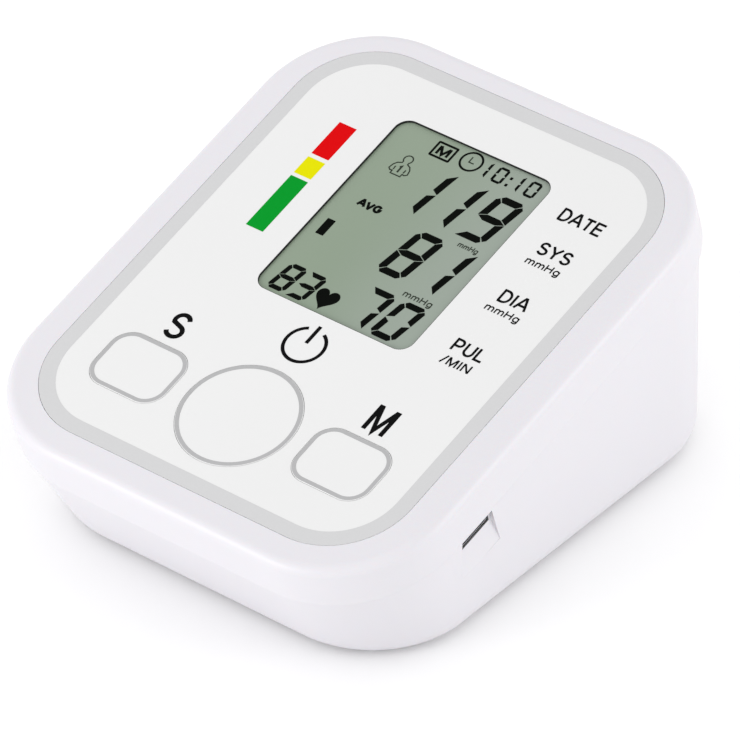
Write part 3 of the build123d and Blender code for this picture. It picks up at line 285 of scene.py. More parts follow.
# Where the plus end's bare ring, the coloured band, the silver line and the jacket end, as shares
# of a cell's length from its plus end.
RING_END, BAND_END, LINE_END, JACKET_END = 0.03, 0.3, 0.32, 0.985


def cell_jacket(name, node, body, band):
    """Heat shrunk PVC sleeve on a dry cell: glossy, a coloured band at the plus end, and the bare
    steel of the can showing as a ring at each end."""
    material, tree, surface, place = start_material(
        name, IOR=1.52, Coat_Weight=0.4, Coat_Roughness=0.1
    )
    low, high = (Vector(corner).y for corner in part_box(node))
    plus, minus = (low, high) if node in PLUS_IN_FRONT else (high, low)
    along = add(tree, "ShaderNodeSeparateXYZ", Vector=place)
    share = add(tree, "ShaderNodeMapRange", {"clamp": False}, Value=along.outputs[1],
                From_Min=plus, From_Max=minus)
    stripes = add(tree, "ShaderNodeValToRGB", Fac=share.outputs[0])
    ramp = stripes.color_ramp
    ramp.interpolation = "CONSTANT"
    ramp.elements[0].color = linear("C4C2BC")
    ramp.elements[1].position, ramp.elements[1].color = JACKET_END, linear("B9B7B1")
    for position, colour in ((RING_END, band), (BAND_END, "D8D8D4"), (LINE_END, body)):
        ramp.elements.new(position).color = linear(colour)
    wrap = add(tree, "ShaderNodeTexNoise", Vector=place, Scale=per_mm(0.8))
    tone = add(tree, "ShaderNodeMix", TWO_COLOURS | {"blend_type": "MULTIPLY"}, _0=0.12,
               _6=stripes.outputs[0], _7=wrap.outputs[1])
    polish = add(tree, "ShaderNodeMapRange", Value=wrap.outputs[0], To_Min=0.2, To_Max=0.3)
    drive(tree, surface, tone, polish)
    return material


CASE = moulded_abs("white_moulded_abs", "D9D7DC", "D5D3D8")
PANEL = printed_sheet("white_printed_polycarbonate", "DFDFDF", "DBDBDB")
CAP = printed_sheet("white_key_cap", "DFDFDF", "DBDBDB")
RING_INK = screen_ink("light_grey_ink", "C5C5C6", "C9C9CA")
LINE_INK = screen_ink("mid_grey_ink", "A9A9AA", "AFAFB0")
BLACK_INK = screen_ink("black_ink", "060607", "0E0E0F")
RED_INK = screen_ink("red_ink", "CD0208", "D40409")
YELLOW_INK = screen_ink("yellow_ink", "D5D200", "DAD702")
GREEN_INK = screen_ink("green_ink", "008C24", "03922A")
GLASS = display_glass()
SEGMENT = display_segment("liquid_crystal_dark", "020402", "050805")
FINE_SEGMENT = display_segment("liquid_crystal_fine", "2A3129", "333A31")
LENS = clear_acrylic()
# Black strip that lines the display opening: painted shade for the shadow on the opening's wall.
SHADE_STRIP = rubber("black_strip_painted_shade", "121312", "1C1D1C")
INNER = moulded_abs("natural_moulded_abs", "D9D9D6", "D0D0CD", 0.5)
BLACK_NYLON = moulded_abs("black_moulded_nylon", "141414", "1B1B1B", 0.4, 0.005, (0.4, 0.5))
SOCKET = moulded_abs("grey_moulded_abs", "6A6C70", "5F6165", 0.4)
PLUNGER = moulded_abs("orange_moulded_nylon", "B5551E", "A64B18", 0.4)
STEEL = metal("zinc_plated_steel", "B9BABD", "96989C")
CAN = metal("deep_drawn_steel_can", "B9BABD", "96989C", (0.3, 0.42), (1.0, 0.05, 1.0))
NICKEL = metal("nickel_plated_steel", "CFCBC0", "B0ACA2", (0.18, 0.3))
# Dark metal on the USB socket: painted shade for the shadow deep inside the socket's mouth.
SHADED_SOCKET_METAL = metal("socket_metal_painted_shade", "3A3838", "2C2A2A", (0.35, 0.5))
GOLD = metal("gold_plated_contact", "E3B44A", "C99A36", (0.15, 0.25))
FOOT = rubber("grey_silicone_rubber", "8B8C8E", "7E7F81")
FOAM = rubber("black_closed_cell_foam", "1A1A1B", "262627", (0.8, 0.95))
TUBE = rubber("milky_silicone_tube", "DEDDD6", "D2D1CA", (0.3, 0.42))
STRIP = rubber("pink_conductive_rubber", "D79AA2", "C98A93")
BOARD = circuit_laminate()

FINISHES = {
    "upper_shell": CASE, "lower_shell": CASE, "battery_door": CASE, "face_panel": PANEL,
    "display_window": LENS, "lcd_cell": GLASS, "lcd_frame": INNER, "lcd_contact_strips": STRIP,
    "power_key": CAP, "set_key": CAP, "memory_key": CAP, "switch_bodies": BLACK_NYLON,
    "power_switch_plunger": PLUNGER, "set_switch_plunger": PLUNGER,
    "memory_switch_plunger": PLUNGER, "main_board": BOARD, "board_chips": BLACK_NYLON,
    "board_screws": STEEL, "buzzer": BLACK_NYLON, "battery_contacts": NICKEL,
    "battery_springs": NICKEL, "rubber_feet": FOOT, "housing_screws": STEEL,
    "pump_head": INNER, "pump_motor": CAN, "motor_shaft": STEEL, "pump_pads": FOAM,
    "air_tee": INNER, "air_socket": SOCKET, "socket_tube": TUBE, "pump_tube": TUBE,
    "valve_tube": TUBE, "sensor_tube": TUBE, "air_valve": BLACK_NYLON, "valve_pin": STEEL,
    "pressure_sensor": INNER, "usb_board": BOARD, "usb_socket": SHADED_SOCKET_METAL,
}
for cell in CELLS:
    FINISHES[cell] = cell_jacket(f"{cell}_sleeve", cell, "23406F", "9FA6AE")
for name, finish in FINISHES.items():
    if not nodes[name].material_slots:
        nodes[name].data.materials.append(finish)
    for held in nodes[name].material_slots:
        held.material = finish


# ---- pieces grown by node trees ----------------
def start_tree(name, sizes):
    """A geometry tree with one named input for each size; returns the tree and the sockets that
    give them."""
    tree = bpy.data.node_groups.new(name, "GeometryNodeTree")
    tree.interface.new_socket("Geometry", in_out="INPUT", socket_type="NodeSocketGeometry")
    tree.interface.new_socket("Geometry", in_out="OUTPUT", socket_type="NodeSocketGeometry")
    for label, value in sizes.items():
        kind = "NodeSocketInt" if isinstance(value, int) else "NodeSocketFloat"
        tree.interface.new_socket(label, in_out="INPUT", socket_type=kind)
    return tree, add(tree, "NodeGroupInput").outputs


def grow(name, tree, shape, sizes, finish, base=None):
    """Ends a tree with its finish, runs it on the base mesh and returns the piece, as a plain
    mesh."""
    whole = add(tree, "GeometryNodeRealizeInstances", Geometry=shape.outputs[0])
    coated = add(tree, "GeometryNodeSetMaterial", Geometry=whole.outputs[0], Material=finish)
    add(tree, "NodeGroupOutput", Geometry=coated.outputs[0])
    piece = new_object(name, base or bpy.data.meshes.new(name))
    modifier = piece.modifiers.new(name, "NODES")
    modifier.node_group = tree
    for socket in tree.interface.items_tree:
        if socket.in_out == "INPUT" and socket.name in sizes:
            modifier[socket.identifier] = sizes[socket.name]
    grown = piece.evaluated_get(bpy.context.evaluated_depsgraph_get())
    mesh = bpy.data.meshes.new_from_object(grown)
    piece.modifiers.clear()
    piece.data = mesh
    return piece


def raised(tree, shape, height):
    """A shape moved up by a height that a socket gives."""
    by = add(tree, "ShaderNodeCombineXYZ", Z=height)
    return add(tree, "GeometryNodeTransform", Geometry=shape.outputs[0], Translation=by.outputs[0])


def outline(name, middle, size, corner, line, levels, finish, body, steps=12):
    """A flat band that runs round a rounded rectangle on the face, for printed lines and the black
    strip of painted shade in the display opening. size is over the band's outside; levels are the
    heights of its underside and top."""
    sizes = {
        "Width": size[0] - line, "Length": size[1] - line, "Corner": corner - line / 2,
        "Line": line, "Depth": levels[1] - levels[0], "Steps": steps,
    }
    tree, given = start_tree(name, sizes)
    path = add(tree, "GeometryNodeCurvePrimitiveQuadrilateral",
               Width=given["Width"], Height=given["Length"])
    eased = add(tree, "GeometryNodeFilletCurve", {"mode": "POLY"}, Curve=path.outputs[0],
                Count=given["Steps"], Radius=given["Corner"], Limit_Radius=True)
    band = add(tree, "GeometryNodeCurvePrimitiveQuadrilateral",
               Width=given["Line"], Height=given["Depth"])
    swept = add(tree, "GeometryNodeCurveToMesh", Curve=eased.outputs[0], _1=band.outputs[0])
    flat = add(tree, "GeometryNodeSetShadeSmooth", Geometry=swept.outputs[0], Shade_Smooth=False)
    piece = grow(name, tree, flat, sizes, finish)
    place = Matrix.Translation((middle[0], middle[1], (levels[0] + levels[1]) / 2))
    piece.data.transform(FACE @ place)
    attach(piece, body)


def on_face(node):
    """A node's points in places on the face."""
    back = FACE.inverted()
    return [back @ point.co for point in nodes[node].data.vertices]


def island_middles(node):
    """Middles, across and up the slope, of four copies in one node, one in each quarter of its
    span, and its lowest and highest points."""
    points = on_face(node)
    split = [(min(p[k] for p in points) + max(p[k] for p in points)) / 2 for k in (0, 1)]
    middles = []
    for side in (-1, 1):
        for end in (-1, 1):
            own = [p for p in points if (p.x - split[0]) * side > 0 and (p.y - split[1]) * end > 0]
            middles.append([(min(p[k] for p in own) + max(p[k] for p in own)) / 2 for k in (0, 1)])
    return middles, min(p.z for p in points), max(p.z for p in points)


RECESS_DEPTH = 0.55       # of a screw's cross recess, as a share of its head's height


def make_screws(node, sizes):
    """Self-tapping screws that stand in for a node's plain ones: pan heads with a cross recess,
    and a thread that winds up the shank. A screw's z runs from the top of its head to its tip."""
    middles, low, high = island_middles(node)
    sizes = dict(sizes, Length=high - low)
    base = bpy.data.meshes.new(node + "_places")
    base.from_pydata([(x, y, low) for x, y in middles], [], [])
    tree, given = start_tree(node, sizes)

    disc = add(tree, "GeometryNodeMeshCylinder", Vertices=40, Radius=given["Head Radius"],
               Depth=given["Head Height"])
    blade_size = add(tree, "ShaderNodeCombineXYZ", X=given["Recess"], Y=given["Blade"],
                     Z=given["Head Height"])
    blade = add(tree, "GeometryNodeMeshCube", Size=blade_size.outputs[0])
    quarter = add(tree, "GeometryNodeTransform", Geometry=blade.outputs[0],
                  Rotation=(0, 0, math.pi / 2))
    cross = add(tree, "GeometryNodeMeshBoolean", {"operation": "UNION"}, _1=blade.outputs[0])
    tree.links.new(quarter.outputs[0], cross.inputs[1])
    drop = add(tree, "ShaderNodeMath", {"operation": "MULTIPLY"}, _0=given["Head Height"],
               _1=RECESS_DEPTH - 1)
    recess = raised(tree, cross, drop.outputs[0])
    head = add(tree, "GeometryNodeMeshBoolean", {"operation": "DIFFERENCE"}, _0=disc.outputs[0],
               _1=recess.outputs[0])
    half = add(tree, "ShaderNodeMath", {"operation": "MULTIPLY"}, _0=given["Head Height"], _1=0.5)
    seated = raised(tree, head, half.outputs[0])

    shank_length = add(tree, "ShaderNodeMath", {"operation": "SUBTRACT"}, _0=given["Length"],
                       _1=given["Head Height"])
    shank = add(tree, "GeometryNodeMeshCylinder", Vertices=24, Radius=given["Core"],
                Depth=shank_length.outputs[0])
    lift = add(tree, "ShaderNodeMath", {"operation": "MULTIPLY_ADD"},
               _0=shank_length.outputs[0], _1=0.5, _2=given["Head Height"])
    stem = raised(tree, shank, lift.outputs[0])

    worm = add(tree, "GeometryNodeCurveSpiral", Resolution=20, Rotations=given["Turns"],
               Start_Radius=given["Core"], End_Radius=given["Core"],
               Height=shank_length.outputs[0])
    ridge = add(tree, "GeometryNodeCurvePrimitiveCircle", Resolution=4, Radius=given["Ridge"])
    thread = add(tree, "GeometryNodeCurveToMesh", Curve=worm.outputs[0], _1=ridge.outputs[0],
                 Fill_Caps=True)
    wound = raised(tree, thread, given["Head Height"])

    whole = add(tree, "GeometryNodeJoinGeometry", Geometry=seated.outputs[0])
    tree.links.new(stem.outputs[0], whole.inputs[0])
    tree.links.new(wound.outputs[0], whole.inputs[0])
    shaded = add(tree, "GeometryNodeSetShadeSmooth", Geometry=whole.outputs[0],
                 Shade_Smooth=False)
    placed = add(tree, "GeometryNodeInstanceOnPoints", Points=given["Geometry"],
                 Instance=shaded.outputs[0])
    piece = grow(node + "_threaded", tree, placed, sizes, STEEL, base)
    piece.data.transform(FACE)
    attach(piece, "housing")
    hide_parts(node)


SPRING_WIRE = 0.36        # radius of the springs' wire


def make_springs():
    """Round wire coils at the cells' flat ends, wound a little narrower towards the cell, with a
    closed first turn against the contact plate. Each stands at the end of the bay where its cell
    leaves more room."""
    low, high = (Vector(corner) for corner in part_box("battery_springs"))
    places, turns, rise = [], [], 0.0
    for cell in CELLS:
        cell_low, cell_high = (Vector(corner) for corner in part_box(cell))
        middle = (cell_low + cell_high) / 2
        front_room, back_room = cell_low.y - low.y, high.y - cell_high.y
        at_front = front_room > back_room
        places.append((middle.x, low.y if at_front else high.y, middle.z))
        turns.append(-math.pi / 2 if at_front else math.pi / 2)
        rise = max(front_room, back_room) / MM
    base = bpy.data.meshes.new("battery_spring_places")
    base.from_pydata([[c / MM for c in place] for place in places], [], [])
    base.attributes.new("turn", "FLOAT", "POINT").data.foreach_set("value", turns)
    sizes = {"Plate Radius": 3.1, "Cell Radius": 2.4, "Wire": SPRING_WIRE,
             "Rise": rise - 2 * SPRING_WIRE, "Turns": 3.5}
    tree, given = start_tree("coil_spring", sizes)
    coil = add(tree, "GeometryNodeCurveSpiral", Resolution=28, Rotations=given["Turns"],
               Start_Radius=given["Plate Radius"], End_Radius=given["Cell Radius"],
               Height=given["Rise"])
    foot = add(tree, "GeometryNodeCurveSpiral", Resolution=28, Rotations=1.0,
               Start_Radius=given["Plate Radius"], End_Radius=given["Plate Radius"], Height=0.0)
    both = add(tree, "GeometryNodeJoinGeometry", Geometry=coil.outputs[0])
    tree.links.new(foot.outputs[0], both.inputs[0])
    wire = add(tree, "GeometryNodeCurvePrimitiveCircle", Resolution=10, Radius=given["Wire"])
    drawn = add(tree, "GeometryNodeCurveToMesh", Curve=both.outputs[0], _1=wire.outputs[0],
                Fill_Caps=True)
    stood = raised(tree, drawn, given["Wire"])
    shaded = add(tree, "GeometryNodeSetShadeSmooth", Geometry=stood.outputs[0])
    turn = add(tree, "GeometryNodeInputNamedAttribute", {"data_type": "FLOAT"}, Name="turn")
    angles = add(tree, "ShaderNodeCombineXYZ", X=turn.outputs[0])
    facing = add(tree, "FunctionNodeEulerToRotation", Euler=angles.outputs[0])
    placed = add(tree, "GeometryNodeInstanceOnPoints", Points=given["Geometry"],
                 Instance=shaded.outputs[0], Rotation=facing.outputs[0])
    piece = grow("battery_coil_springs", tree, placed, sizes, NICKEL, base)
    piece.data.transform(Matrix.Scale(MM, 4))
    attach(piece, "housing")
    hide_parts("battery_springs")


MOUTH_TO_CONTACTS = 0.9   # from the socket's mouth to the near end of its contact strips
TONGUE_HALF = 0.3         # from the middle of the socket's tongue to its face


def make_socket_contacts():
    """The row of plated contact strips on the tongue of the USB socket."""
    points = on_face("usb_socket")
    low, high = ([pick(p[k] for p in points) for k in range(3)] for pick in (min, max))
    sizes = {"Count": 12, "Pitch": 0.4, "Width": 0.22, "Length": 3.2, "Thickness": 0.06}
    tree, given = start_tree("socket_contacts", sizes)
    step = add(tree, "ShaderNodeCombineXYZ", Y=given["Pitch"])
    row = add(tree, "GeometryNodeMeshLine", Count=given["Count"], Offset=step.outputs[0])
    size = add(tree, "ShaderNodeCombineXYZ", X=given["Length"], Y=given["Width"],
               Z=given["Thickness"])
    strip = add(tree, "GeometryNodeMeshCube", Size=size.outputs[0])
    placed = add(tree, "GeometryNodeInstanceOnPoints", Points=row.outputs[0],
                 Instance=strip.outputs[0])
    piece = grow("usb_socket_contacts", tree, placed, sizes, GOLD)
    half_row = (sizes["Count"] - 1) / 2 * sizes["Pitch"]
    first = Vector((
        high[0] - MOUTH_TO_CONTACTS - sizes["Length"] / 2,
        (low[1] + high[1]) / 2 - half_row,
        (low[2] + high[2]) / 2 + TONGUE_HALF,
    ))
    piece.data.transform(FACE @ Matrix.Translation(first))
    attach(piece, "housing")


make_screws("housing_screws", {
    "Head Radius": 2.8, "Head Height": 1.8, "Recess": 3.4, "Blade": 0.75, "Core": 1.1,
    "Ridge": 0.33, "Turns": 9.0,
})
make_screws("board_screws", {
    "Head Radius": 2.2, "Head Height": 1.1, "Recess": 2.4, "Blade": 0.55, "Core": 0.8,
    "Ridge": 0.28, "Turns": 7.0,
})
make_springs()
make_socket_contacts()


# ---- flat shapes on the face -------------------
INK_RISE = 0.03           # printed film above the surface it lies on
INK_SINK = 0.01           # how far its underside is let in
SAME_POINT = 1e-4         # points of a film closer than this are one
SLIVER = 1e-5             # a triangle of half this area or less is left out
SHARPEST_MITRE = 0.35     # least cosine of half a pen's turn that its mitre reaches out for


def film(name, shapes, level, finish, body, sink=INK_SINK):
    """A thin printed or etched film at a face height, from closed outlines that may overlap."""
    points, outlines = [], []
    for shape in shapes:
        turn = sum(a[0] * b[1] - b[0] * a[1] for a, b in zip(shape, shape[1:] + shape[:1]))
        outlines.append(list(range(len(points), len(points) + len(shape))))
        points += [Vector(p) for p in (shape if turn > 0 else shape[::-1])]
    flat, _, found, _, _, owners = delaunay_2d_cdt(points, [], outlines, 1, SAME_POINT)
    triangles = [triangle for triangle, owner in zip(found, owners) if owner]
    count = len(flat)
    sides = {}
    for triangle in triangles:
        for a, b in zip(triangle, triangle[1:] + triangle[:1]):
            sides[frozenset((a, b))] = None if frozenset((a, b)) in sides else (a, b)
    faces = [tuple(t) for t in triangles]
    faces += [tuple(i + count for i in reversed(t)) for t in triangles]
    faces += [(b, a, a + count, b + count) for a, b in filter(None, sides.values())]
    places = [(p.x, p.y, level + z) for z in (INK_RISE, -sink) for p in flat]
    solid(name, places, faces, finish, body)


def solid(name, places, faces, finish, body):
    """A mesh piece from places on the face and faces that point outwards."""
    mesh = bpy.data.meshes.new(name)
    mesh.from_pydata(places, [], faces)
    mesh.transform(FACE)
    mesh.materials.append(finish)
    piece = new_object(name, mesh)
    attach(piece, body)


def bow(cx, cy, rx, ry, start, end, steps=10):
    """Points on an ellipse between two angles in degrees."""
    turns = [math.radians(start + (end - start) * i / steps) for i in range(steps + 1)]
    return [(cx + rx * math.cos(t), cy + ry * math.sin(t)) for t in turns]


def rounded(cx, cy, width, height, radius, steps):
    """Rounded rectangle."""
    x, y = width / 2 - radius, height / 2 - radius
    points = []
    for dx, dy, start in ((x, y, 0), (-x, y, 90), (-x, -y, 180), (x, -y, 270)):
        points += bow(cx + dx, cy + dy, radius, radius, start, start + 90, steps)
    return points


def between(outer, inner, closed):
    """Triangles that fill the way between two lines of as many points each."""
    last = len(outer) if closed else len(outer) - 1
    triangles = []
    for i in range(last):
        j = (i + 1) % len(outer)
        for a, b, c in ((inner[i], outer[i], outer[j]), (inner[i], outer[j], inner[j])):
            if abs((b[0] - a[0]) * (c[1] - a[1]) - (b[1] - a[1]) * (c[0] - a[0])) > SLIVER:
                triangles.append([a, b, c])
    return triangles


def stroke(points, line, closed=False):
    """A pen line of constant width through the points, with mitred turns."""
    count = len(points)
    left, right = [], []
    for i, (x, y) in enumerate(points):
        before = points[i - 1] if i or closed else None
        after = points[(i + 1) % count] if i < count - 1 or closed else None
        ways = []
        for a, b in ((before, (x, y)), ((x, y), after)):
            if a and b:
                length = math.hypot(b[0] - a[0], b[1] - a[1])
                ways.append(((b[0] - a[0]) / length, (b[1] - a[1]) / length))
        normals = [(-dy, dx) for dx, dy in ways]
        nx, ny = (sum(n[k] for n in normals) for k in (0, 1))
        size = math.hypot(nx, ny)
        nx, ny = nx / size, ny / size
        reach = line / 2 / max(SHARPEST_MITRE, nx * normals[0][0] + ny * normals[0][1])
        left.append((x + nx * reach, y + ny * reach))
        right.append((x - nx * reach, y - ny * reach))
    return between(right, left, closed)


# ---- lettering ---------------------------------
# Plain grotesque letters drawn with a round pen, on a cell one capital tall: each has its width
# and its pen lines.
STEM, FAR_STEM = [(0.05, 0.0), (0.05, 1.0)], [(0.63, 0.0), (0.63, 1.0)]
LETTERS = {
    "A": (0.74, [
        [(0.0, 0.0), (0.33, 1.0), (0.41, 1.0), (0.74, 0.0)], [(0.13, 0.34), (0.61, 0.34)],
    ]),
    "D": (0.70, [
        [(0.05, 0.02), (0.05, 0.98), (0.30, 0.98)] + bow(0.30, 0.5, 0.36, 0.48, 80, -80)
        + [(0.30, 0.02), (0.0, 0.02)],
    ]),
    "E": (0.62, [
        [(0.62, 0.98), (0.05, 0.98), (0.05, 0.02), (0.62, 0.02)], [(0.09, 0.52), (0.57, 0.52)],
    ]),
    "G": (0.78, [bow(0.38, 0.5, 0.33, 0.46, 35, 355, 18) + [(0.71, 0.48), (0.42, 0.48)]]),
    "H": (0.68, [STEM, FAR_STEM, [(0.09, 0.52), (0.59, 0.52)]]),
    "I": (0.14, [[(0.07, 0.0), (0.07, 1.0)]]),
    "L": (0.56, [[(0.05, 1.0), (0.05, 0.03), (0.56, 0.03)]]),
    "M": (0.80, [STEM, [(0.75, 0.0), (0.75, 1.0)], [(0.08, 0.98), (0.40, 0.06), (0.72, 0.98)]]),
    "N": (0.68, [STEM, FAR_STEM, [(0.08, 0.97), (0.60, 0.03)]]),
    "P": (0.64, [
        [(0.05, 0.0), (0.05, 0.98), (0.34, 0.98)] + bow(0.34, 0.71, 0.24, 0.27, 80, -80)
        + [(0.34, 0.44), (0.09, 0.44)],
    ]),
    "S": (0.66, [
        bow(0.33, 0.72, 0.25, 0.25, 20, 210, 12) + bow(0.35, 0.27, 0.27, 0.24, 75, -160, 14),
    ]),
    "T": (0.62, [[(0.0, 0.96), (0.62, 0.96)], [(0.31, 0.0), (0.31, 0.92)]]),
    "U": (0.68, [
        [(0.05, 1.0), (0.05, 0.36)] + bow(0.34, 0.36, 0.29, 0.34, 190, 350, 12)
        + [(0.63, 0.36), (0.63, 1.0)],
    ]),
    "V": (0.70, [[(0.0, 1.0), (0.33, 0.02), (0.37, 0.02), (0.70, 1.0)]]),
    "Y": (0.68, [[(0.0, 1.0), (0.34, 0.45), (0.68, 1.0)], [(0.34, 0.42), (0.34, 0.0)]]),
    "m": (0.84, [
        [(0.05, 0.0), (0.05, 0.70)],
        [(0.42, 0.0), (0.42, 0.45)] + bow(0.255, 0.47, 0.165, 0.2, 0, 170, 8),
        [(0.79, 0.0), (0.79, 0.45)] + bow(0.625, 0.47, 0.165, 0.2, 0, 170, 8),
    ]),
    "g": (0.56, [
        bow(0.28, 0.35, 0.23, 0.33, 40, 320, 16),
        [(0.51, 0.70), (0.51, -0.02)] + bow(0.29, -0.04, 0.22, 0.2, -5, -155, 8),
    ]),
    "/": (0.34, [[(0.0, -0.02), (0.34, 1.02)]]),
    "1": (0.34, [[(0.0, 0.78), (0.20, 0.94), (0.20, 0.0)]]),
}
LETTER_GAP = 0.17


def word(text, middle_x, base_y, cap, pen, width=None):
    """Outlines of a word, centred on middle_x, with its capitals cap tall and its pen pen wide."""
    across = sum(LETTERS[c][0] for c in text) + LETTER_GAP * (len(text) - 1)
    squeeze = width / (across * cap) if width else 1.0
    x = middle_x - across * cap * squeeze / 2
    shapes = []
    for letter in text:
        advance, pens = LETTERS[letter]
        for points in pens:
            line = [(x + px * cap * squeeze, base_y + py * cap) for px, py in points]
            shapes += stroke(line, pen)
        x += (advance + LETTER_GAP) * cap * squeeze
    return shapes


def words(rows):
    """Outlines of several words. A row is a word's text, middle and foot as a place from the rim's
    middle, capital's height, pen width and, where it is fitted to one, width."""
    return [shape for text, x, y, *looks in rows for shape in word(text, x, from_rim(y), *looks)]


# ---- print on the face panel -------------------
RIM_SHIFT = 0.65          # panel's middle above the rim's middle; places below are from the rim's
PANEL_WIDTH = (Vector(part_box("face_panel")[1]) - Vector(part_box("face_panel")[0])).x / MM
PANEL_CORNER = 18.0
BORDER = 3.5              # printed border, over the panel's edge
BORDER_EDGE = 0.04        # bare edge of the panel outside the border


def from_rim(y):
    """Slope place counted from the rim's middle, as a place from the panel's middle."""
    return y - RIM_SHIFT


def print_border():
    """Grey band round the panel."""
    outline(
        "border_print", (0, 0),
        (PANEL_WIDTH - 2 * BORDER_EDGE, PANEL_LENGTH / MM - 2 * BORDER_EDGE),
        PANEL_CORNER - BORDER_EDGE, BORDER - BORDER_EDGE, (-INK_SINK, INK_RISE), RING_INK,
        "housing", 16,
    )


BAND_X, BAND_WIDTH, BAND_CORNER = -28.85, 4.5, 0.1
# Name, ink, and lower and upper end from the rim's middle.
BANDS = (
    ("red_band", RED_INK, 27.0, 36.75),
    ("yellow_band", YELLOW_INK, 21.0, 25.95),
    ("green_band", GREEN_INK, 4.75, 20.1),
)


def print_bands():
    """Red, yellow and green scale beside the display."""
    for name, finish, low, high in BANDS:
        middle = from_rim((low + high) / 2)
        shape = rounded(BAND_X, middle, BAND_WIDTH, high - low, BAND_CORNER, 2)
        film(name, [shape], 0.0, finish, "housing")


# The power sign: a ring open at the top, from one angle to the other, and a bar in the opening.
SIGN_X, SIGN_Y, SIGN_RADIUS, SIGN_ARC, SIGN_PEN = 0.25, -15.45, 4.5, (116, 424), 0.78
SIGN_BAR, SIGN_BAR_PEN = (-14.9, -9.95), 0.85
LEGENDS = (
    ("S", -26.25, -27.15, 6.4, 1.05, 4.35),
    ("M", 26.65, -27.2, 6.85, 1.05, 4.95),
    ("DATE", 30.85, 36.85, 3.1, 0.56, 10.5),
    ("SYS", 31.1, 27.35, 3.1, 0.56, 8.0),
    ("mmHg", 30.95, 24.1, 1.75, 0.32, 8.4),
    ("DIA", 31.35, 13.2, 3.1, 0.56, 6.8),
    ("mmHg", 31.1, 10.1, 1.75, 0.32, 8.4),
    ("PUL", 31.2, -1.9, 3.1, 0.56, 7.8),
    ("/MIN", 31.0, -5.6, 2.1, 0.39, 7.1),
)


def print_legends():
    """Key signs and the names of the readings."""
    arc = bow(SIGN_X, from_rim(SIGN_Y), SIGN_RADIUS, SIGN_RADIUS, *SIGN_ARC, 48)
    shapes = stroke(arc, SIGN_PEN)
    shapes += stroke([(SIGN_X, from_rim(y)) for y in SIGN_BAR], SIGN_BAR_PEN)
    shapes += words(LEGENDS)
    film("legend_print", shapes, 0.0, BLACK_INK, "housing")


# ---- grey outlines on the keys -----------------
KEY_ROW = -36.8           # the keys' middles, from the rim's middle
SIDE_KEY_REACH = 26.45    # from the middle to a side key's middle
KEY_LINE = 0.88           # width of the grey line round a key
KEY_LINE_EDGE = 0.22      # from the opening's edge to the line
ROUND_KEY = 13.4          # radius of the round key's opening
SIDE_KEY = (19.3, 15.2, 5.0)                     # width, length and corner of a side key's
KEYS = (
    ("power", 0.0, (2 * ROUND_KEY, 2 * ROUND_KEY, ROUND_KEY)),
    ("set", -SIDE_KEY_REACH, SIDE_KEY),
    ("memory", SIDE_KEY_REACH, SIDE_KEY),
)


def print_key_outlines():
    """The grey line that runs round the top of each key."""
    for name, across, (width, length, corner) in KEYS:
        level = top_on_face(f"{name}_key")
        outline(
            f"{name}_key_line", (across, from_rim(KEY_ROW)),
            (width - 2 * KEY_LINE_EDGE, length - 2 * KEY_LINE_EDGE), corner - KEY_LINE_EDGE,
            KEY_LINE, (level - INK_SINK, level + INK_RISE), LINE_INK, f"{name}_key",
            20,
        )


# ---- display -----------------------------------
GLASS_TOP = -0.55         # face height of the display's sheet, which lies over the lens
WINDOW_WIDTH, WINDOW_LENGTH, WINDOW_CORNER = 40.0, 51.8, 3.2
WINDOW_ROW = 18.5         # the window's middle, from the rim's middle
SHADE_STRIP_LINE = 0.1           # thickness of the black strip of painted shade on the opening's wall
SHADE_STRIP_TOP = -0.02          # face height of its upper edge
SHEET_GAP = 0.02          # display sheet inside the opening and over the lens

SEGMENTS = {
    "0": "abcdef", "1": "bc", "3": "abcdg", "7": "abc", "8": "abcdefg", "9": "abcdfg",
}
CORNER_CUT = 0.85         # cut off a corner where two lit bars meet, as a share of their width


def digit(value, left, middle_y, width, height, line, slant, gap):
    """Seven-segment numeral. Bars meet along diagonals, and where two lit ones meet at a corner,
    the corner is cut off."""
    lit = SEGMENTS[value]
    top, right, half = height / 2, width, line / 2
    step = gap / 2

    def corner(level_bar, upright_bar):
        """Ends of a level and an upright bar at the top right corner: the level bar's from its
        outer point to its inner one, the upright's from its inner point to its outer one."""
        inner_x, inner_y = right - line, top - line
        if level_bar in lit and upright_bar in lit:
            cut = CORNER_CUT * line
            level_end = [(right - cut, top), (right - cut / 2 - step, top - cut / 2 + step)]
            upright_end = [(right - cut / 2 + step, top - cut / 2 - step), (right, top - cut)]
        else:
            level_end, upright_end = [(right - 2 * step, top)], [(right, top - 2 * step)]
        return level_end + [(inner_x - step, inner_y)], [(inner_x, inner_y - step)] + upright_end

    def level(bar, left_bar, right_bar):
        right_end, left_end = corner(bar, right_bar)[0], corner(bar, left_bar)[0]
        return right_end + [(right - x, y) for x, y in reversed(left_end)]

    def upright(level_bar, bar):
        return corner(level_bar, bar)[1] + [(right, step), (right - line, half + step)]

    bars = {
        "a": level("a", "f", "b"),
        "d": [(x, -y) for x, y in level("d", "e", "c")],
        "b": upright("a", "b"),
        "c": [(x, -y) for x, y in upright("d", "c")],
        "f": [(right - x, y) for x, y in upright("a", "f")],
        "e": [(right - x, -y) for x, y in upright("d", "e")],
        "g": [(gap, 0), (line + gap, half), (right - line - gap, half), (right - gap, 0),
              (right - line - gap, -half), (line + gap, -half)],
    }
    return [[(left + x + slant * y, middle_y + y) for x, y in bars[bar]] for bar in lit]


# Styles of numerals: line is the width of a bar, slant its lean and gap what parts two bars.
SLANT = 0.172
BIG = {"width": 7.0, "height": 13.1, "line": 1.7, "slant": SLANT, "gap": 0.2}
MEDIUM = {"width": 6.35, "height": 10.6, "line": 1.5, "slant": SLANT, "gap": 0.19}
SMALL = {"width": 4.5, "height": 7.6, "line": 1.12, "slant": SLANT, "gap": 0.14}
TINY = {"width": 2.7, "height": 4.3, "line": 0.6, "slant": 0.0, "gap": 0.04}
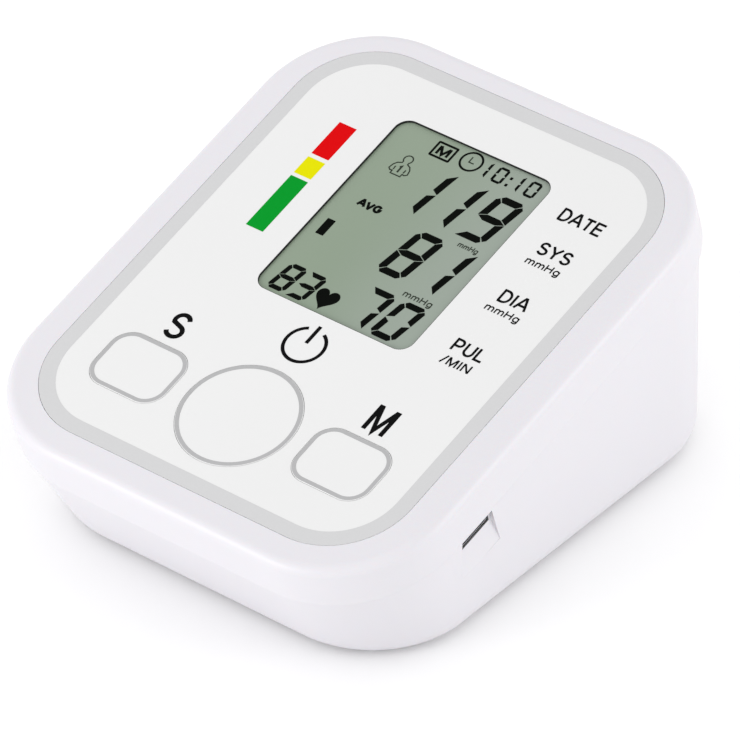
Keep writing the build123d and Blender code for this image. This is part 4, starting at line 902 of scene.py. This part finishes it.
# Style, middle from the rim's middle, and each numeral with the place of its left side.
DIGITS = (
    (BIG, 30.35, (("1", -7.85), ("1", 0.05), ("9", 9.9))),
    (BIG, 14.65, (("8", 1.0), ("1", 9.05))),
    (MEDIUM, -0.9, (("7", 2.05), ("0", 9.95))),
    (SMALL, -2.4, (("8", -16.85), ("3", -11.65))),
    (TINY, 41.1, (("1", 2.1), ("0", 6.35), ("1", 10.45), ("0", 14.7))),
)
# Solid blocks: middle across and from the rim's middle, width, height, corner and steps in it.
CLOCK_DOTS = ((10.3, 39.55, 0.62, 0.72, 0.12, 3), (10.3, 41.5, 0.62, 0.72, 0.12, 3))
MARKER = (-16.15, 12.45, 2.0, 4.5, 0.1, 2)
HEART = (-3.9, -3.5, 5.5, 5.5)                   # middle, width and height
DISPLAY_WORDS = (("AVG", -11.35, 20.6, 1.65, 0.6, 5.7), ("M", -6.84, 39.68, 2.3, 0.62, 2.9))
# Lines round a sign: middle, size, corner, line width and steps in a corner.
SIGN_FRAMES = (
    ("display_memory_box", -6.84, 40.82, (5.3, 4.3), 0.35, 0.52, 3),
    ("display_clock_ring", 0.0, 41.3, (5.4, 5.4), 2.7, 0.48, 16),
)


def heart(cx, cy, width, height):
    """Heart outline, from the curve whose own size is 32 by 29 and middle 2.5 below its origin."""
    points = []
    for i in range(40):
        t = 2 * math.pi * i / 40
        x = 16 * math.sin(t) ** 3
        y = 13 * math.cos(t) - 5 * math.cos(2 * t) - 2 * math.cos(3 * t) - math.cos(4 * t)
        points.append((cx + x * width / 32, cy + (y + 2.5) * height / 29))
    return points


def block(x, y, *size):
    """Rounded block at a place from the rim's middle."""
    return rounded(x, from_rim(y), *size)


def show_readings():
    """The numerals and signs that the display shows."""
    shapes = []
    for style, middle, numerals in DIGITS:
        for value, left in numerals:
            shapes += digit(value, left, from_rim(middle), **style)
    shapes += [block(*dot) for dot in CLOCK_DOTS]
    shapes.append(heart(HEART[0], from_rim(HEART[1]), *HEART[2:]))
    shapes.append(block(*MARKER))
    shapes += words(DISPLAY_WORDS)
    film("display_readings", shapes, GLASS_TOP, SEGMENT, "housing")
    levels = (GLASS_TOP - INK_SINK, GLASS_TOP + INK_RISE)
    for name, x, y, size, corner, line, steps in SIGN_FRAMES:
        outline(name, (x, from_rim(y)), size, corner, line, levels, SEGMENT, "housing",
                steps)


FINE_LINE = 0.28
CLOCK_HANDS = ((-0.45, 42.5), (-0.45, 41.0), (0.8, 41.0))
# The user sign: its head, one side from the neck down and one arm, both from its middle line.
USER_X, HEAD_Y, HEAD_RADIUS, HEAD_ARC = -12.1, 35.5, 1.05, (-48, 228)
USER_SIDE = (
    (0.7, 34.3), (1.6, 33.9), (2.15, 33.1), (2.4, 31.95), (1.85, 31.5), (1.3, 31.6), (1.25, 30.85),
)
USER_ARM = ((1.35, 32.9), (1.3, 31.95))
FINE_WORDS = (
    ("1", USER_X - 0.1, 31.6, 1.9, 0.42),
    ("mmHg", 13.85, 21.35, 1.25, 0.22, 4.9),
    ("mmHg", 13.1, 5.2, 1.5, 0.26, 7.2),
)


def show_fine_signs():
    """Thin lines of the display: clock hands, user sign and units."""
    shapes = stroke([(x, from_rim(y)) for x, y in CLOCK_HANDS], FINE_LINE)
    user = bow(USER_X, from_rim(HEAD_Y), HEAD_RADIUS, HEAD_RADIUS, *HEAD_ARC, 20)
    user += [(USER_X - x, from_rim(y)) for x, y in USER_SIDE]
    user += [(USER_X + x, from_rim(y)) for x, y in reversed(USER_SIDE)]
    shapes += stroke(user, FINE_LINE, closed=True)
    for side in (-1, 1):
        shapes += stroke([(USER_X + side * x, from_rim(y)) for x, y in USER_ARM], FINE_LINE)
    shapes += words(FINE_WORDS)
    film("display_fine_signs", shapes, GLASS_TOP, FINE_SEGMENT, "housing")


def lay_display_sheet():
    """The sheet that the display's picture shows on. It fills the opening down to the lens."""
    shape = rounded(0, from_rim(WINDOW_ROW), WINDOW_WIDTH - 2 * SHEET_GAP,
                    WINDOW_LENGTH - 2 * SHEET_GAP, WINDOW_CORNER - SHEET_GAP, 10)
    film("display_sheet", [shape], GLASS_TOP - INK_RISE, GLASS, "housing",
         PANEL_THICK / MM + GLASS_TOP - SHEET_GAP - INK_RISE)


def shade_window_wall():
    """Thin black strip on the wall of the display opening: painted shade for the shadow on that
    wall.
    """
    outline("window_painted_shade", (0, from_rim(WINDOW_ROW)), (WINDOW_WIDTH, WINDOW_LENGTH),
            WINDOW_CORNER, SHADE_STRIP_LINE, (-PANEL_THICK / MM + SHEET_GAP, SHADE_STRIP_TOP), SHADE_STRIP,
            "housing")


# ---- power socket's mouth ----------------------
PORT_ROW, PORT_TOP = -29.9, -11.35               # its middle from the rim's middle, and its top
PORT_WALL = 51.57                                # the side wall's outside at the mouth
PORT_HALF, PORT_HEIGHT = 4.3, 3.0
MOUTH_SHADE_SIDE, MOUTH_SHADE_LOW = 0.4, 0.5                     # width of the band of painted shade beside and below the mouth
MOUTH_SHADE_PROUD, MOUTH_SHADE_SUNK = 0.12, 0.05                 # its reach out of the wall and into it


def shade_port_mouth():
    """Black band on three sides of the mouth of the power socket: painted shade for the shadow in
    the mouth. The wall closes the fourth side."""
    out, low = PORT_HALF + MOUTH_SHADE_SIDE, PORT_TOP - PORT_HEIGHT
    shape = [(-out, PORT_TOP), (-out, low - MOUTH_SHADE_LOW), (out, low - MOUTH_SHADE_LOW), (out, PORT_TOP),
             (PORT_HALF, PORT_TOP), (PORT_HALF, low), (-PORT_HALF, low), (-PORT_HALF, PORT_TOP)]
    count, middle = len(shape), from_rim(PORT_ROW)
    reaches = (PORT_WALL + MOUTH_SHADE_PROUD, PORT_WALL - MOUTH_SHADE_SUNK)
    places = [(x, middle + y, z) for x in reaches for y, z in shape]
    faces = [tuple(range(count)), tuple(reversed(range(count, 2 * count)))]
    faces += [((i + 1) % count, i, i + count, (i + 1) % count + count) for i in range(count)]
    solid("usb_mouth_painted_shade", places, faces, BLACK_NYLON, "housing")


print_border()
print_bands()
print_legends()
print_key_outlines()
lay_display_sheet()
show_readings()
show_fine_signs()
shade_window_wall()
shade_port_mouth()

# ---- floor, light and camera -------------------
# Lengths are in metres where no unit is given.
FLOOR_HALF = 3.0
SKY_STRENGTH = 1.05
# Name, place, aim, side and watts.
SOFT_BOXES = (
    ("front_box", (-0.45, -0.98, 0.2), (0, 0, 0.02), 0.45, 3.8),
    ("right_box", (1.0, 0.45, 0.3), (0, 0, 0.03), 0.5, 2.4),
)


def lay_floor():
    """Wide sheet of white paper."""
    mesh = bpy.data.meshes.new("floor")
    corners = [(x * FLOOR_HALF, y * FLOOR_HALF, 0) for x, y in ((-1, -1), (1, -1), (1, 1), (-1, 1))]
    mesh.from_pydata(corners, [], [(0, 1, 2, 3)])
    material, tree, surface, place = start_material("white_paper_sweep", IOR=1.4)
    cloud = add(tree, "ShaderNodeTexNoise", Vector=place, Scale=per_mm(200))
    tone = blend(tree, cloud.outputs[0], "FDFDFD", "FBFBFB")
    tooth = add(tree, "ShaderNodeTexNoise", Vector=place, Scale=per_mm(5))
    polish = add(tree, "ShaderNodeMapRange", Value=tooth.outputs[0], To_Min=0.8, To_Max=0.9)
    drive(tree, surface, tone, polish)
    mesh.materials.append(material)
    floor = new_object("floor", mesh)


def soft_light(name, place, aim, size, watts):
    """Square soft box."""
    light = bpy.data.lights.new(name, "AREA")
    light.shape = "SQUARE"
    light.size = size
    light.energy = watts
    lamp = new_object(name, light)
    lamp.location = place
    lamp.rotation_euler = (Vector(aim) - Vector(place)).to_track_quat("-Z", "Y").to_euler()


def light_studio():
    """White surroundings and the soft boxes."""
    world = bpy.data.worlds.new("studio")
    world.use_nodes = True
    backdrop = world.node_tree.nodes["Background"]
    backdrop.inputs["Color"].default_value = linear("FFFFFF")
    backdrop.inputs["Strength"].default_value = SKY_STRENGTH
    bpy.context.scene.world = world
    bpy.context.scene.view_settings.view_transform = "Standard"
    for box in SOFT_BOXES:
        soft_light(*box)


# The camera looks from the front right and above. It stands back from a reference point in front
# of the case, along its line of sight, and is moved sideways and up. Lengths in millimetres.
AZIMUTH, ELEVATION, ROLL = math.radians(39.287), math.radians(35.89), math.radians(-0.588)
DISTANCE, SIDE_SHIFT, UP_SHIFT = 1476.83, 63.394, 50.341
REFERENCE = Vector((0.0, -98.091, 20.896))
FOCAL_PIXELS, PICTURE_PIXELS, SENSOR = 7502.2, 740, 36
FARTHEST = 20             # metres


def place_camera():
    """The camera, placed from its angles and its reference point."""
    flat = math.cos(ELEVATION)
    back = Vector((math.sin(AZIMUTH) * flat, -math.cos(AZIMUTH) * flat, math.sin(ELEVATION)))
    level_right = Vector((math.cos(AZIMUTH), math.sin(AZIMUTH), 0))
    level_up = back.cross(level_right)
    right = level_right * math.cos(ROLL) + level_up * math.sin(ROLL)
    up = level_up * math.cos(ROLL) - level_right * math.sin(ROLL)
    place = (back * DISTANCE + right * SIDE_SHIFT + up * UP_SHIFT + REFERENCE) * MM
    camera = new_object("camera", bpy.data.cameras.new("camera"))
    camera.data.lens = FOCAL_PIXELS / PICTURE_PIXELS * SENSOR
    camera.data.sensor_width = SENSOR
    camera.data.clip_end = FARTHEST
    turn = Matrix((right, up, back)).transposed().to_4x4()
    camera.matrix_world = Matrix.Translation(place) @ turn
    bpy.context.scene.camera = camera


lay_floor()
light_studio()
place_camera()
